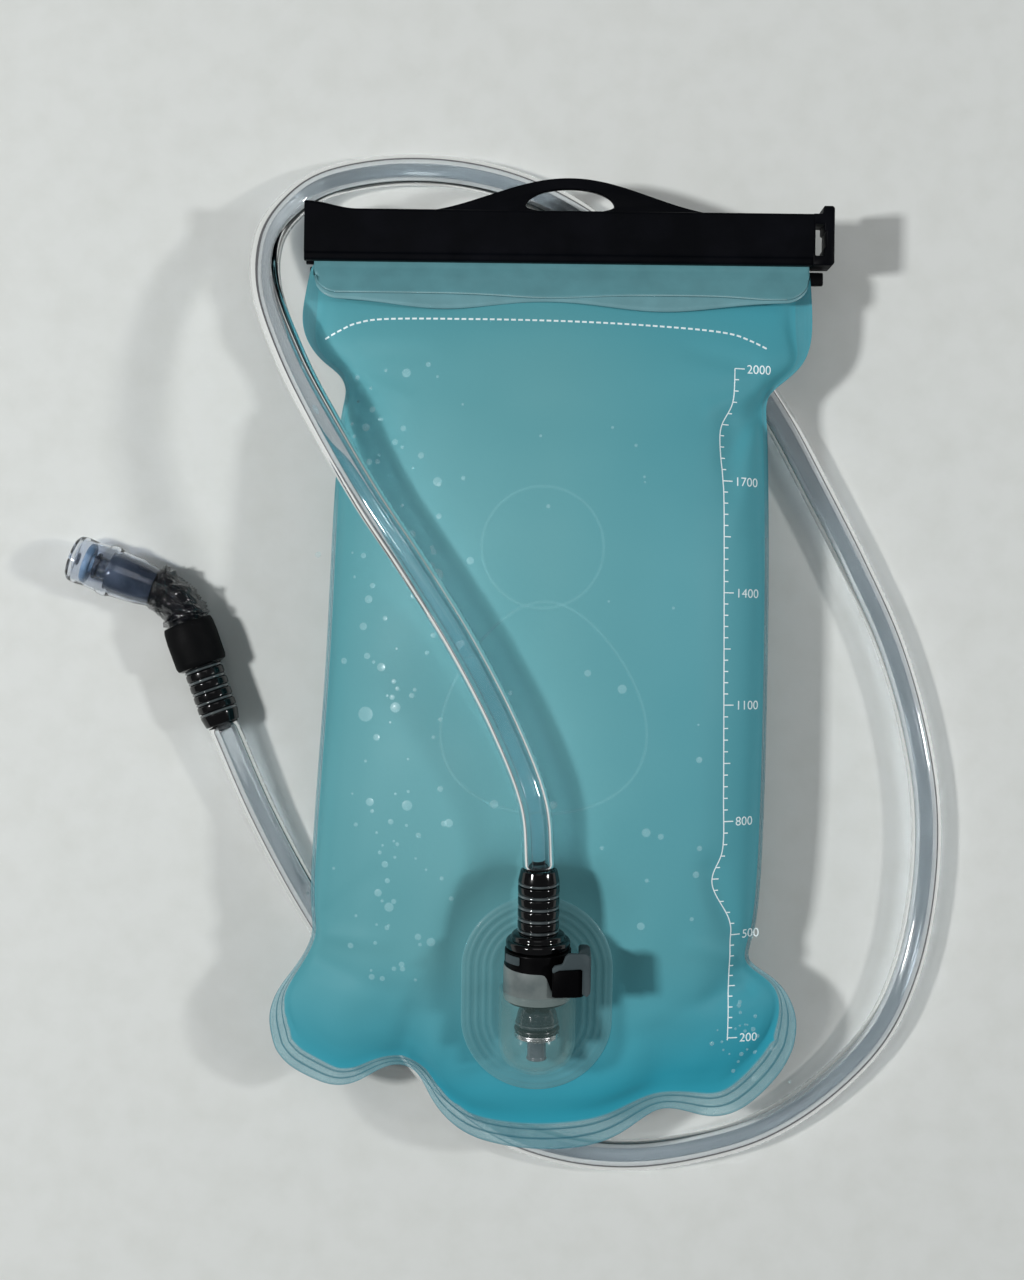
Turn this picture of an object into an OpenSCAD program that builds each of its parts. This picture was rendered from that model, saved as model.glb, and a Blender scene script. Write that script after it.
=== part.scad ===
// Hydration bladder: a film reservoir with a slide-top closure, a push-in hose coupling
// in a welded port, a clear drinking tube and an angled bite valve.
// It lies on its back. +Z is out of the front film, +Y is towards the mouth, z = 0 is the table.
// The origin is below the middle of the reservoir's box. Lengths are millimetres.

/* [Reservoir] */
// Greatest width of the films, their welded flange included
film_w = 172; // [150:1:207]
// Length of the films from the bottom edge to the slide
film_l = 284; // [240:1:340]
// Wall of each film
film_t = 0.4; // [0.3:0.05:0.6]
// Height of the side seam above the table
seam_z = 21.5; // [20.5:0.1:23]
// Rise of the front film above the seam when full
front_rise = 24; // [18:0.5:26]
// Gap between the two welded films
weld_gap = 0.1; // [0.05:0.05:0.2]

/* [Mouth and closure] */
// Diameter of the rod in the mouth fold
rod_d = 5.2; // [4:0.1:6.4]
// Gap between neighbouring layers of the mouth fold
fold_gap = 0.2; // [0.1:0.05:0.3]
// Wall of each fold layer
fold_t = 0.3; // [0.2:0.05:0.4]
// How far the folded flap hangs below the slide
flap_drop = 12.5; // [8:0.5:18]
// Depth of the slide channel along Y
slide_w = 16.5; // [15:0.1:20]
// Wall of the slide channel
slide_wall = 2; // [1.6:0.1:2.2]
// Clearance of the fold inside the channel
slide_gap = 0.5; // [0.35:0.05:0.8]
// Width of the finger hole in the handle
hole_w = 29; // [24:0.5:40]
// Height of the finger hole in the handle
hole_h = 7; // [6:0.5:12]
// Rim round the finger hole
handle_rim = 3.5; // [2.5:0.25:6]
// Thickness of the handle plate
handle_t = 3; // [2:0.25:5]

/* [Port and coupling] */
// Tilt of the port axis, its hose end up
port_tilt = 10; // [0:1:14]
// Radius of the coupling plug
plug_r = 7; // [5.8:0.1:8.4]
// Radial clearance of the plug in its bore
plug_gap = 0.1; // [0.05:0.05:0.2]
// Wall of the latch housing
housing_wall = 3.4; // [3:0.1:4]
// Wall of the clear socket round the housing
socket_wall = 1.4; // [1:0.1:2]
// Travel of the release button
button_travel = 1.8; // [1.2:0.1:2]
// Travel of the valve poppet past its open place
poppet_travel = 1.5; // [0.8:0.1:2]

/* [Drinking tube] */
// Outer diameter of the drinking tube
tube_d = 10; // [8:0.1:10]
// How much the tube swells over a barbed stem
barb_swell = 3; // [2:0.25:3.5]

/* [Bite valve] */
// Radius of the black collar
collar_r = 8.5; // [8:0.1:9]
// Radius of the elbow
elbow_r = 5.6; // [5:0.1:6]
// Outer radius of the silicone sheath
sheath_r = 8; // [7.6:0.1:8.4]
// Wall of the silicone sheath
sheath_t = 1.2; // [0.8:0.1:1.6]
// Length of the mouthpiece from the bend to its tip
mouth_l = 37; // [33:0.5:42]

/* [Hidden] */

// Fineness of round parts
$fn = 48;

// ---------- the reservoir's outline ----------
// The points are for films 172 wide and 284 long, and stretch with film_w and film_l.
stretch = [film_w / 172, film_l / 284];
mouth_at = 128.4;
mouth_y = mouth_at * stretch.y;
// Each point is [x, y, width of the welded flange there]. The sides are seen with the seam tucked in.
left_edge = [
    [-87, -124, 8], [-89, -114, 7], [-86, -105, 3], [-80, -97, 1.5], [-75, -87, 1.5], [-76, -76, 1.5],
    [-75, -50, 1.5], [-72, 0, 1.5], [-70, 50, 1.5], [-68, 80, 1.5], [-66, 90, 1.5], [-72, 95, 1.5],
    [-78, 101, 2], [-81, 109, 5.5], [-80, 118, 5], [-78, mouth_at, 3]];
right_edge = [
    [80, -122, 9], [81, -114, 8], [79, -107, 5], [75, -101, 2], [69, -97, 1.5], [64, -93, 1.5],
    [67, -84, 1.5], [69, -60, 1.5], [70, -10, 1.5], [70, 40, 1.5], [69, 76, 1.5], [68, 86, 1.5],
    [73, 91, 1.5], [80, 97, 2], [83, 105, 6], [83, 116, 6.5], [82, mouth_at, 5]];
bottom_edge = [
    [-87, -124, 8], [-83, -129, 8], [-76, -133, 8], [-67, -136, 7], [-59, -134, 5], [-53, -130, 4],
    [-46, -128, 3], [-41, -130, 3], [-36, -141, 5], [-26, -151, 8], [-11, -155, 9.5], [2, -155.5, 10],
    [16, -154, 10], [26, -150, 9], [33, -144, 7], [38, -141, 6], [44, -142, 7], [52, -144.5, 9],
    [60, -143.5, 9.5], [68, -138.5, 10], [76, -130, 10], [80, -122, 9]];
mouth_edge = [for (x = [-78:32:82]) [x, mouth_at, 0]];

// Cells of the film mesh across and along
across = 32;
along = 43;
span_steps = 6;

function blend4(a, b, c, d, t) = 0.5 * (2 * b + (c - a) * t + (2 * a - 5 * b + 4 * c - d) * t * t
    + (3 * b - a - 3 * c + d) * t * t * t);
function rounded(p) = concat(
    [for (i = [0:len(p) - 2], s = [0:span_steps - 1])
        blend4(p[max(0, i - 1)], p[i], p[i + 1], p[min(len(p) - 1, i + 2)], s / span_steps)],
    [p[len(p) - 1]]);
function walked(p) = [for (i = 0, s = 0; i < len(p); s = i < len(p) - 1 ?
    s + norm([p[i + 1].x - p[i].x, p[i + 1].y - p[i].y]) : s, i = i + 1) s];
function column(s, p, k) = [for (i = [0:len(p) - 1]) [s[i], p[i][k]]];
function stretched(p) = [for (q = p) [q.x * stretch.x, q.y * stretch.y, q.z]];
function placed(p, shares) = let (q = rounded(stretched(p)), s = walked(q), l = s[len(s) - 1],
    xs = column(s, q, 0), ys = column(s, q, 1), ws = column(s, q, 2))
    [for (t = shares) [lookup(l * t, xs), lookup(l * t, ys), lookup(l * t, ws)]];

// Shares along an edge, closer together near its ends
function eased(n, pull) = [for (i = [0:n]) i / n - pull * sin(720 * i / n / 2) / 6.2832];
across_at = eased(across, 0.55);
along_at = eased(along, 0.2);

left_rim = placed(left_edge, along_at);
right_rim = placed(right_edge, along_at);
bottom_rim = placed(bottom_edge, across_at);
mouth_rim = placed(mouth_edge, across_at);

function heading(p, i) = let (d = p[min(len(p) - 1, i + 1)] - p[max(0, i - 1)])
    [d.x, d.y] / norm([d.x, d.y]);
// The weld line lies inside the rim by the flange's width. side is 1 where outward is to the right
function welded(p, side) = [for (i = [0:len(p) - 1]) let (h = heading(p, i))
    [p[i].x - side * h.y * p[i].z, p[i].y + side * h.x * p[i].z]];
left_in = welded(left_rim, -1);
right_in = welded(right_rim, 1);
bottom_in = welded(bottom_rim, 1);
mouth_in = [for (p = mouth_rim) [left_in[along].x + (p.x - left_rim[along].x)
    * (right_in[along].x - left_in[along].x) / (right_rim[along].x - left_rim[along].x), mouth_y]];
low_left = (left_in[0] + bottom_in[0]) / 2;
low_right = (right_in[0] + bottom_in[across]) / 2;
left_weld = [for (j = [0:along]) j == 0 ? low_left : j == along ? [left_in[j].x, mouth_y] : left_in[j]];
right_weld = [for (j = [0:along]) j == 0 ? low_right : j == along ? [right_in[j].x, mouth_y] : right_in[j]];
bottom_weld = [for (i = [0:across]) i == 0 ? low_left : i == across ? low_right : bottom_in[i]];

// A place on the film, u across and v from the bottom to the mouth
function patch(i, j) = let (u = across_at[i], v = along_at[j])
    (1 - u) * left_weld[j] + u * right_weld[j] + (1 - v) * bottom_weld[i] + v * mouth_in[i]
    - (1 - u) * (1 - v) * left_weld[0] - u * (1 - v) * right_weld[0]
    - (1 - u) * v * left_weld[along] - u * v * right_weld[along];
plan = [for (j = [0:along]) [for (i = [0:across]) patch(i, j)]];

// ---------- how far the films bulge ----------
function off_line(p, a, b) = let (d = b - a, t = min(1, max(0, (p - a) * d / (d * d)))) norm(p - a - t * d);
// Full across the middle, falling to the seam at the sides
function side_fill(u, power) = pow(max(0, 1 - pow(abs(2 * u - 1), 2.3)), power);
function end_fill(d, reach) = 1 - pow(1 - min(1, max(0, d) / reach), 2);
port_x = -3;
port_y = -87;
port_z = 49;
flange_t = 1.2;
bore_r = plug_r + plug_gap;
housing_r = bore_r + housing_wall;
socket_gap = 0.1;
socket_r = housing_r + socket_gap + socket_wall;
port_seat = socket_r + flange_t + 0.4;
flange_r = socket_r + 12;
flange_run = 16;
flange_mid = -19.5;
// Height of the plane that the port is welded on
function port_plane(y) = port_z - port_seat / cos(port_tilt) + (y - port_y) * tan(port_tilt);
flange_y = port_y + flange_mid * cos(port_tilt) + port_seat * sin(port_tilt);
function front_limit(p) = port_plane(p.y) - seam_z - weld_gap / 2 - film_t - 0.3
    + 0.55 * max(0, off_line(p, [port_x, flange_y - flange_run / 2], [port_x, flange_y + flange_run / 2])
        - flange_r - 5.5 * max(stretch));
function front_bulge(i, j) = let (u = across_at[i], v = along_at[j], p = plan[j][i])
    i == 0 || i == across || j == 0 || j == along ? 0 :
    min(front_limit(p), front_rise * side_fill(u, 0.62) * end_fill(mouth_y - p.y, 85) * end_fill(v, 0.4));

// The back film rests flat on the table, and is lifted where the tube runs below it
under_tube = [[[-8, -156], [-31, -142]], [[-31, -142], [-78, -80]], [[30, 132], [78, 78]]];
tube_lift = tube_d + 1;
back_room = seam_z - weld_gap / 2 - film_t;
function back_limit(p) = min([for (l = under_tube)
    back_room - tube_lift + 0.5 * max(0, off_line(p, l[0], l[1]) - tube_d * 0.9)]);
function back_bulge(i, j) = let (u = across_at[i], v = along_at[j], p = plan[j][i])
    i == 0 || i == across || j == 0 || j == along ? 0 :
    max(0, min(back_room, back_limit(p),
        27 * side_fill(u, 0.62) * end_fill(mouth_y - p.y, 75) * end_fill(v, 0.3)));

front_bulges = [for (j = [0:along]) [for (i = [0:across]) front_bulge(i, j)]];
back_bulges = [for (j = [0:along]) [for (i = [0:across]) back_bulge(i, j)]];

// The outer rim, from the mouth's left end down, along the bottom and up to its right end
rim = concat([for (j = [along:-1:0]) left_rim[j]], [for (i = [1:across]) bottom_rim[i]],
    [for (j = [1:along]) right_rim[j]]);
rim_weld = concat([for (j = [along:-1:0]) j * (across + 1)], [for (i = [1:across]) i],
    [for (j = [1:along]) j * (across + 1) + across]);
mesh_size = (across + 1) * (along + 1);
sheet_size = mesh_size + len(rim);
sheet_faces = concat(
    [for (j = [0:along - 1], i = [0:across - 1]) let (k = j * (across + 1) + i)
        [k, k + across + 1, k + across + 2, k + 1]],
    [for (i = [0:len(rim) - 2]) [mesh_size + i, rim_weld[i], rim_weld[i + 1], mesh_size + i + 1]]);
// The sheet's own edge, as a closed run of points
sheet_edge = concat([for (i = [0:len(rim) - 1]) mesh_size + i],
    [for (i = [across:-1:0]) along * (across + 1) + i]);
function flipped(f) = [f[3], f[2], f[1], f[0]];

// A thin film from one height at each point of the plan, base is its height at the seam, s is 1 or -1
module film(bulges, base, s) {
    rim_points = [for (p = rim) [p.x, p.y, base]];
    low = concat([for (j = [0:along], i = [0:across])
        [plan[j][i].x, plan[j][i].y, base + s * bulges[j][i]]], rim_points);
    high = [for (p = low) p + [0, 0, film_t]];
    top = sheet_faces;
    bottom = [for (f = sheet_faces) [for (k = flipped(f)) k + sheet_size]];
    n = len(sheet_edge);
    walls = [for (i = [0:n - 1]) let (a = sheet_edge[i], b = sheet_edge[(i + 1) % n])
        [a, b, b + sheet_size, a + sheet_size]];
    polyhedron(concat(high, low), concat(top, bottom, walls));
}

module front_film() {
    color([0.36, 0.64, 0.68, 0.85]) film(front_bulges, seam_z + weld_gap / 2, 1);
}

module back_film() {
    color([0.32, 0.58, 0.63, 0.85]) film(back_bulges, seam_z - weld_gap / 2 - film_t, -1);
}

// The web that ties the two films together and keeps the reservoir flat
web_from = 16;
web_to = 28;
web_inset = 0.35;
module baffle_web() {
    mid = across / 2;
    over = [for (j = [web_from:web_to]) [plan[j][mid].y, seam_z + front_bulges[j][mid] - web_inset]];
    under = [for (j = [web_to:-1:web_from]) [plan[j][mid].y, seam_z - back_bulges[j][mid] + web_inset]];
    color([0.4, 0.66, 0.7, 0.85])
        translate([plan[web_from][mid].x - film_t / 2, 0, 0])
            rotate([90, 0, 90])
                linear_extrude(film_t) polygon(concat(over, under));
}

// ---------- the mouth: fold, rod and rail ----------
slide_y = mouth_y + 0.1;
channel_z = 23;
rod_y = slide_y + 9;
fold_x0 = left_rim[along].x + 1;
fold_x1 = right_rim[along].x - 0.5;
fold_r1 = rod_d / 2 + fold_t / 2 + 0.05;
fold_r2 = fold_r1 + fold_t + fold_gap;
fold_out = fold_r2 + fold_t / 2;
leg_z = 0.26 * rod_d;
flap_corner = 8;

// Middle line of a fold layer that runs round the rod at radius r: up behind it and down in front,
// its legs touching the round part without a corner
function fold_turn(r, leg) = 180 - atan2(leg, rod_y - slide_y) - acos(r / norm([rod_y - slide_y, leg]));
function fold_line(r) = let (more = r - fold_r1, turn = fold_turn(r, leg_z + more)) concat(
    [[slide_y, channel_z - leg_z - more]],
    [for (i = [-6:6]) [rod_y + r * cos(turn * i / 6), channel_z + r * sin(turn * i / 6)]],
    [[slide_y, channel_z + leg_z + more], [slide_y - 4.5, channel_z + 3.3 + more],
        [slide_y - flap_drop, channel_z + 6.4 + more]]);
function beside(p, d) = [for (i = [0:len(p) - 1]) let (h = heading([for (q = p) [q.x, q.y, 0]], i))
    [p[i].x - h.y * d, p[i].y + h.x * d]];

module fold_layer(r) {
    line = fold_line(r);
    near = beside(line, fold_t / 2);
    far = beside(line, -fold_t / 2);
    flap_y = slide_y - flap_drop + flap_corner;
    difference() {
        translate([fold_x0, 0, 0])
            rotate([90, 0, 90])
                linear_extrude(fold_x1 - fold_x0)
                    polygon(concat(near, [for (i = [len(far) - 1:-1:0]) far[i]]));
        // Rounded lower corners of the flap
        for (side = [0, 1])
            translate([side == 0 ? fold_x0 : fold_x1, 0, channel_z + 0.5])
                mirror([side, 0, 0])
                    difference() {
                        translate([-1, flap_y - flap_corner - 2, 0])
                            cube([flap_corner + 1, flap_corner + 2, 12]);
                        translate([flap_corner, flap_y, -1]) cylinder(r=flap_corner, h=14);
                    }
    }
}

module front_mouth_fold() {
    color([0.45, 0.62, 0.65, 0.8]) fold_layer(fold_r1);
}

module back_mouth_fold() {
    color([0.4, 0.58, 0.62, 0.8]) fold_layer(fold_r2);
}

module fold_rod() {
    color([0.1, 0.1, 0.11])
        translate([fold_x0 + 1, rod_y, channel_z])
            rotate([0, 90, 0]) cylinder(d=rod_d, h=fold_x1 - fold_x0 - 2);
}

rail_w = 4.6;
rail_t = 2.4;
rail_drop = 3.9;
rail_x0 = fold_x0 - 2;
rail_x1 = fold_x1 + 5.5;
// Stiffening rail on the back of the mouth, below the back film
module back_rail() {
    color([0.06, 0.065, 0.07])
        translate([rail_x0, mouth_y - rail_w, seam_z - rail_drop - rail_t])
            cube([rail_x1 - rail_x0, rail_w - 0.4, rail_t]);
}

// ---------- the slide closure ----------
slide_x0 = fold_x0 - 3;
slide_l = fold_x1 + 1 - slide_x0;
slide_mid = slide_x0 + slide_l / 2 + 3.45;
channel_h = 2 * (fold_out + slide_gap);
slide_h = channel_h + 2 * slide_wall;
frame_w = 6.5;
frame_bar = 3.2;
handle_reach = 50;
handle_top = hole_h + handle_rim;
flare = 2.5;
flare_l = 16;

// Section of the channel: y from the lips, z from the bottom
module slide_section() {
    lip = 2 * (leg_z + fold_r2 - fold_r1 + fold_t / 2 + slide_gap);
    difference() {
        square([slide_w, slide_h]);
        translate([slide_wall, slide_wall]) square([slide_w - 2 * slide_wall, channel_h]);
        translate([-1, slide_h / 2 - lip / 2]) square([slide_wall + 2, lip]);
        // Rounded outer edges
        for (y = [0, slide_w], z = [0, slide_h])
            translate([y, z]) rotate(45) square(1.2, center=true);
    }
}

module slide_closure() {
    arch = [for (x = [-handle_reach:4:handle_reach])
        [x, handle_top * pow(cos(90 * x / handle_reach), 2)]];
    hole = [for (a = [0:10:180]) [hole_w / 2 * cos(a), hole_h * sin(a)]];
    flared = [for (x = [0:2:flare_l]) [x, 0.5 + flare * pow(cos(90 * x / flare_l), 2)]];
    color([0.06, 0.065, 0.07])
        union() {
            translate([slide_x0, slide_y, channel_z - slide_h / 2])
                rotate([90, 0, 90]) linear_extrude(slide_l) slide_section();
            // Flared left end
            translate([slide_x0, slide_y + slide_w - 0.5, channel_z - slide_h / 2])
                linear_extrude(slide_h) polygon(concat([[0, 0]], flared, [[flare_l, 0]]));
            // End frame with its window
            difference() {
                translate([slide_x0 + slide_l, slide_y, channel_z - slide_h / 2])
                    cube([frame_w, slide_w + flare, slide_h]);
                translate([slide_x0 + slide_l - 1, slide_y + 3, channel_z - slide_h])
                    cube([frame_w - frame_bar + 1, slide_w - 6, 2 * slide_h]);
            }
            // Handle plate with the finger hole
            translate([slide_mid, slide_y + slide_w - 0.5, channel_z - handle_t / 2])
                linear_extrude(handle_t)
                    difference() {
                        polygon(concat([[-handle_reach, -0.2]], [for (p = arch) p + [0, 0.5]],
                            [[handle_reach, -0.2]]));
                        translate([0, 0.5]) polygon(hole);
                    }
        }
}

// ---------- port and coupling, drawn along their own axis ----------
// Local +Y runs up out of the socket to the hose, local z = -port_seat is the film
module at_port() {
    translate([port_x, port_y, port_z]) rotate([port_tilt, 0, 0]) children();
}

// A cylinder along local +Y from y0 to y1
module barrel(r, y0, y1) {
    translate([0, y0, 0]) rotate([-90, 0, 0]) cylinder(r=r, h=y1 - y0);
}

module ring(ro, ri, y0, y1) {
    difference() {
        barrel(ro, y0, y1);
        barrel(ri, y0 - 1, y1 + 1);
    }
}

// A round seal: r is the radius of its middle line, c its cord's radius
module seal(r, c, y) {
    translate([0, y, 0]) rotate([-90, 0, 0])
        rotate_extrude() translate([r, 0]) circle(r=c, $fn=20);
}

// A coil spring along +Z from 0 to h
module spring(r, wire, turns, h) {
    steps = 12;
    sides = 6;
    n = turns * steps;
    points = [for (i = [0:n], k = [0:sides - 1]) let (a = 360 * i / steps, b = 360 * k / sides,
        q = r + wire * cos(b)) [q * cos(a), q * sin(a), wire + (h - 2 * wire) * i / n + wire * sin(b)]];
    skin = [for (i = [0:n - 1], k = [0:sides - 1]) let (m = (k + 1) % sides)
        [i * sides + k, i * sides + m, (i + 1) * sides + m, (i + 1) * sides + k]];
    ends = [[for (k = [sides - 1:-1:0]) k], [for (k = [0:sides - 1]) n * sides + k]];
    polyhedron(points, concat(skin, ends));
}

module stadium(r, run, h) {
    for (s = [-1, 1]) translate([0, s * run / 2, 0]) cylinder(r=r, h=h, $fn=64);
    translate([-r, -run / 2, 0]) cube([2 * r, run, h]);
}

// Places along the port's axis
housing_l = 16;
socket_y1 = -13;
socket_floor = 1.6;
foot_y0 = -36.2;
socket_y0 = foot_y0 - poppet_travel - 0.7 - socket_floor;
plug_nose = -16.5;
latch_y = -2.8;
latch_t = 2;
latch_gap = 0.3;
groove_r = plug_r - 1.4;
groove_w = latch_t + 2 * latch_gap;
latch_hole_r = plug_r + 0.5;
latch_shift = 1.5;
latch_h = 2 * plug_r + 3;

module port_flange() {
    ridges = 4;
    ridge_step = 2.6;
    color([0.5, 0.72, 0.76, 0.7])
        at_port()
            translate([0, flange_mid, -port_seat])
                difference() {
                    union()
                        for (i = [0:ridges])
                            stadium(flange_r - i * ridge_step, flange_run, flange_t + i * 0.2);
                    translate([0, 0, flange_t]) stadium(flange_r - ridges * ridge_step - 1, flange_run, 5);
                }
}

module port_socket() {
    foot_w = 17;
    color([0.72, 0.8, 0.82, 0.5])
        at_port()
            difference() {
                union() {
                    barrel(socket_r - 0.6, socket_y0, socket_y1);
                    barrel(socket_r, socket_y1 - 4, socket_y1);
                    translate([-foot_w / 2, socket_y0 + 5, flange_t - port_seat])
                        cube([foot_w, socket_y1 - socket_y0 - 5, port_seat - flange_t]);
                }
                barrel(housing_r + socket_gap, -housing_l, socket_y1 + 1);
                barrel(bore_r + 0.1, socket_y0 + socket_floor, socket_y1);
            }
}

module latch_housing() {
    slot_h = latch_h + 2 * latch_gap;
    color([0.45, 0.49, 0.49, 0.9])
        at_port()
            difference() {
                barrel(housing_r, -housing_l, 0);
                barrel(bore_r, -housing_l - 1, 1);
                translate([-housing_r - 1, latch_y - groove_w / 2, -slot_h / 2])
                    cube([2 * housing_r + 2, groove_w, slot_h]);
                // Pocket for the button's spring
                translate([spring_x, spring_y, 0]) rotate([0, 90, 0]) cylinder(r=1.9, h=housing_r);
            }
}

pad_x0 = housing_r + button_travel + 0.35;
pad_l = 3.2;
pad_w = 11.5;
pad_h = 12;
pad_y0 = latch_y - 9.6;
spring_x = bore_r + 0.8;
spring_y = latch_y - 4.6;
// Lug that wraps over the housing and clears it through the button's whole travel
module thumb_lug() {
    lug_x0 = 4;
    lug_l = 7.2;
    difference() {
        translate([lug_x0, pad_y0 + 0.4, 2]) cube([pad_x0 + 1 - lug_x0, lug_l, housing_r]);
        hull()
            for (x = [0, button_travel])
                translate([x, 0, 0]) barrel(housing_r + 0.35, pad_y0 - 1, latch_y);
    }
}

module release_button() {
    arm_x = -housing_r + 0.4;
    color([0.3, 0.36, 0.36])
        at_port()
            difference() {
                union() {
                    translate([arm_x, latch_y - latch_t / 2, -latch_h / 2])
                        cube([pad_x0 - arm_x + 0.5, latch_t, latch_h]);
                    translate([pad_x0, pad_y0, -pad_h / 2]) cube([pad_l, pad_w, pad_h]);
                    for (z = [-3.5, 0, 3.5])
                        translate([pad_x0 + pad_l - 0.1, pad_y0 + 1, z - 0.5])
                            cube([0.7, pad_w - 2, 1]);
                    thumb_lug();
                }
                translate([latch_shift, 0, 0]) barrel(latch_hole_r, latch_y - 2, latch_y + 2);
            }
}

button_spring_r = 1.3;
module button_spring() {
    color([0.75, 0.76, 0.77])
        at_port()
            translate([spring_x + 0.1, spring_y, 0])
                rotate([0, 90, 0]) spring(button_spring_r, 0.3, 4, pad_x0 - spring_x - 0.2);
}

barb_d = tube_d + barb_swell;
// Ribbed stem along +Y from 0 to l
module barbs(l, count) {
    pitch = l / count;
    core_r = barb_d / 2 - 1.4;
    barrel(core_r, 0, l);
    for (i = [0:count - 1])
        translate([0, pitch * (i + 0.3), 0]) barrel(barb_d / 2, 0, pitch * 0.55);
}

stem_l = 20;
stem_y = 5;
passage_r = 3;
plug_ring_y = -12.5;
module coupling_body() {
    color([0.07, 0.07, 0.08])
        at_port()
            difference() {
                union() {
                    translate([0, stem_y, 0]) barbs(stem_l, 5);
                    barrel(plug_r + 1, 4, stem_y + 0.5);
                    barrel(housing_r - 0.5, 0.4, 4);
                    barrel(plug_r, plug_nose, 0.5);
                }
                barrel(passage_r, plug_nose - 1, stem_y + stem_l - 2);
                ring(plug_r + 1, groove_r, latch_y - groove_w / 2, latch_y + groove_w / 2);
                ring(plug_r + 1, groove_r + 0.2, plug_ring_y - 0.9, plug_ring_y + 0.9);
            }
}

module coupling_oring() {
    color([0.04, 0.04, 0.04]) at_port() seal(groove_r + 0.2 + 0.62, 0.6, plug_ring_y);
}

cage_r = bore_r - 0.6;
cage_y0 = -25;
cage_y1 = -17.2;
module valve_cage() {
    color([0.75, 0.8, 0.82, 0.5])
        at_port()
            difference() {
                barrel(cage_r, cage_y0, cage_y1);
                barrel(cage_r - 1, cage_y0 - 1, cage_y1 - 1.2);
                barrel(1.6, cage_y0, cage_y1 + 1);
                // Water windows round the cage
                for (a = [45:90:315])
                    rotate([0, a, 0]) translate([-1.2, cage_y0 + 2.4, 0]) cube([2.4, 3, cage_r + 1]);
            }
}

oring_c = 0.9;
oring_y = cage_y0 - oring_c - 0.1;
module valve_oring() {
    color([0.04, 0.04, 0.04]) at_port() seal(bore_r - oring_c, oring_c, oring_y);
}

seat_y1 = oring_y - oring_c - 0.1;
seat_y0 = seat_y1 - 1.8;
module valve_seat_ring() {
    color([0.6, 0.62, 0.63]) at_port() ring(bore_r - 0.02, 3.4, seat_y0, seat_y1);
}

stem_r = 1.3;
foot_r = 3;
head_r = cage_r - 1.7;
module valve_poppet() {
    color([0.45, 0.47, 0.48])
        at_port() {
            barrel(stem_r, foot_y0 + 0.5, cage_y1 - 2.2);
            barrel(head_r, cage_y1 - 3.4, cage_y1 - 2.0);
            barrel(foot_r, foot_y0, seat_y0 - 0.6);
        }
}

module valve_spring() {
    color([0.75, 0.76, 0.77])
        at_port()
            translate([0, seat_y1 + 0.2, 0])
                rotate([-90, 0, 0]) spring(cage_r - 2.5, 0.35, 4, cage_y1 - 3.5 - seat_y1 - 0.2);
}

// ---------- drinking tube ----------
// The tube's own route, chosen by hand: over the front, round in a raised loop, below the mouth's
// right end, out along the table, and back below the bottom edge to the bite valve.
tube_route = [
    [-3, -62.3, 53.4], [-5, -42, 56], [-14, -19, 57], [-27, 5.5, 56.5], [-42, 29, 55], [-57, 51, 51.5],
    [-71, 74, 45.5], [-83, 96, 36], [-92, 119, 25], [-92.5, 137, 15.5], [-85, 150, 9], [-73, 158, 6],
    [-52, 162, 5], [-29, 161, 5], [-7, 155, 5], [15, 143, 5], [37, 126, 5], [56, 107, 5],
    [73, 84, 5], [88, 57, 5], [101, 32, 5], [112, 8, 5], [120, -18, 5], [124.5, -45, 5],
    [124, -72, 5], [119, -98, 5], [109, -120, 5], [92, -138, 5], [72, -151, 5], [50, -158, 5],
    [28, -161, 5], [6, -159, 5], [-14, -152, 5], [-33, -138, 5], [-50, -119, 5], [-66, -97, 5],
    [-81, -73.5, 5], [-94.5, -48, 6.5], [-106.5, -20.5, 8.6]];

function unit(v) = v / norm(v);
tube_sides = 10;
module drinking_tube() {
    p = tube_route;
    n = len(p);
    port_dir = [0, -cos(port_tilt), -sin(port_tilt)];
    ways = [for (i = [0:n - 1]) i == 0 ? -port_dir : i == n - 1 ? [bite_way.x, bite_way.y, 0]
        : unit(p[i + 1] - p[i - 1])];
    points = [for (i = [0:n - 1]) let (a = unit(cross(ways[i], [0, 0, 1])), b = cross(a, ways[i]))
        for (k = [0:tube_sides - 1]) p[i] + tube_d / 2 * (cos(360 * k / tube_sides) * a
            + sin(360 * k / tube_sides) * b)];
    skin = [for (i = [0:n - 2], k = [0:tube_sides - 1]) let (m = (k + 1) % tube_sides)
        [i * tube_sides + k, (i + 1) * tube_sides + k, (i + 1) * tube_sides + m, i * tube_sides + m]];
    ends = [[for (k = [0:tube_sides - 1]) k], [for (k = [tube_sides - 1:-1:0]) (n - 1) * tube_sides + k]];
    color([0.8, 0.85, 0.87, 0.6]) polyhedron(points, concat(skin, ends));
}

// ---------- bite valve ----------
bite_at = tube_route[len(tube_route) - 1];
bite_turn = 20.2;
bend_turn = 50;
bite_way = [-sin(bite_turn), cos(bite_turn)];
fit_barb_l = 20;
collar_l = 15;
bend_at = 44.2;
socket_l = 10;
swivel_gap = 0.1;

// Local +Y runs along the collar
module at_bite() {
    translate(bite_at) rotate([0, 0, bite_turn]) children();
}

// Local +Y runs along the mouthpiece from the bend
module at_mouth() {
    at_bite() translate([0, bend_at, 0]) rotate([0, 0, bend_turn]) children();
}

module bite_fitting() {
    neck = fit_barb_l + collar_l;
    color([0.07, 0.07, 0.08])
        at_bite()
            difference() {
                union() {
                    translate([0, 0.05, 0]) barbs(fit_barb_l, 5);
                    barrel(collar_r, fit_barb_l, neck);
                    barrel(collar_r - 0.9, fit_barb_l - 1.5, fit_barb_l + 1);
                }
                barrel(2.6, 2, neck);
                barrel(elbow_r + swivel_gap, neck - socket_l, neck + 1);
            }
}

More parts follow.
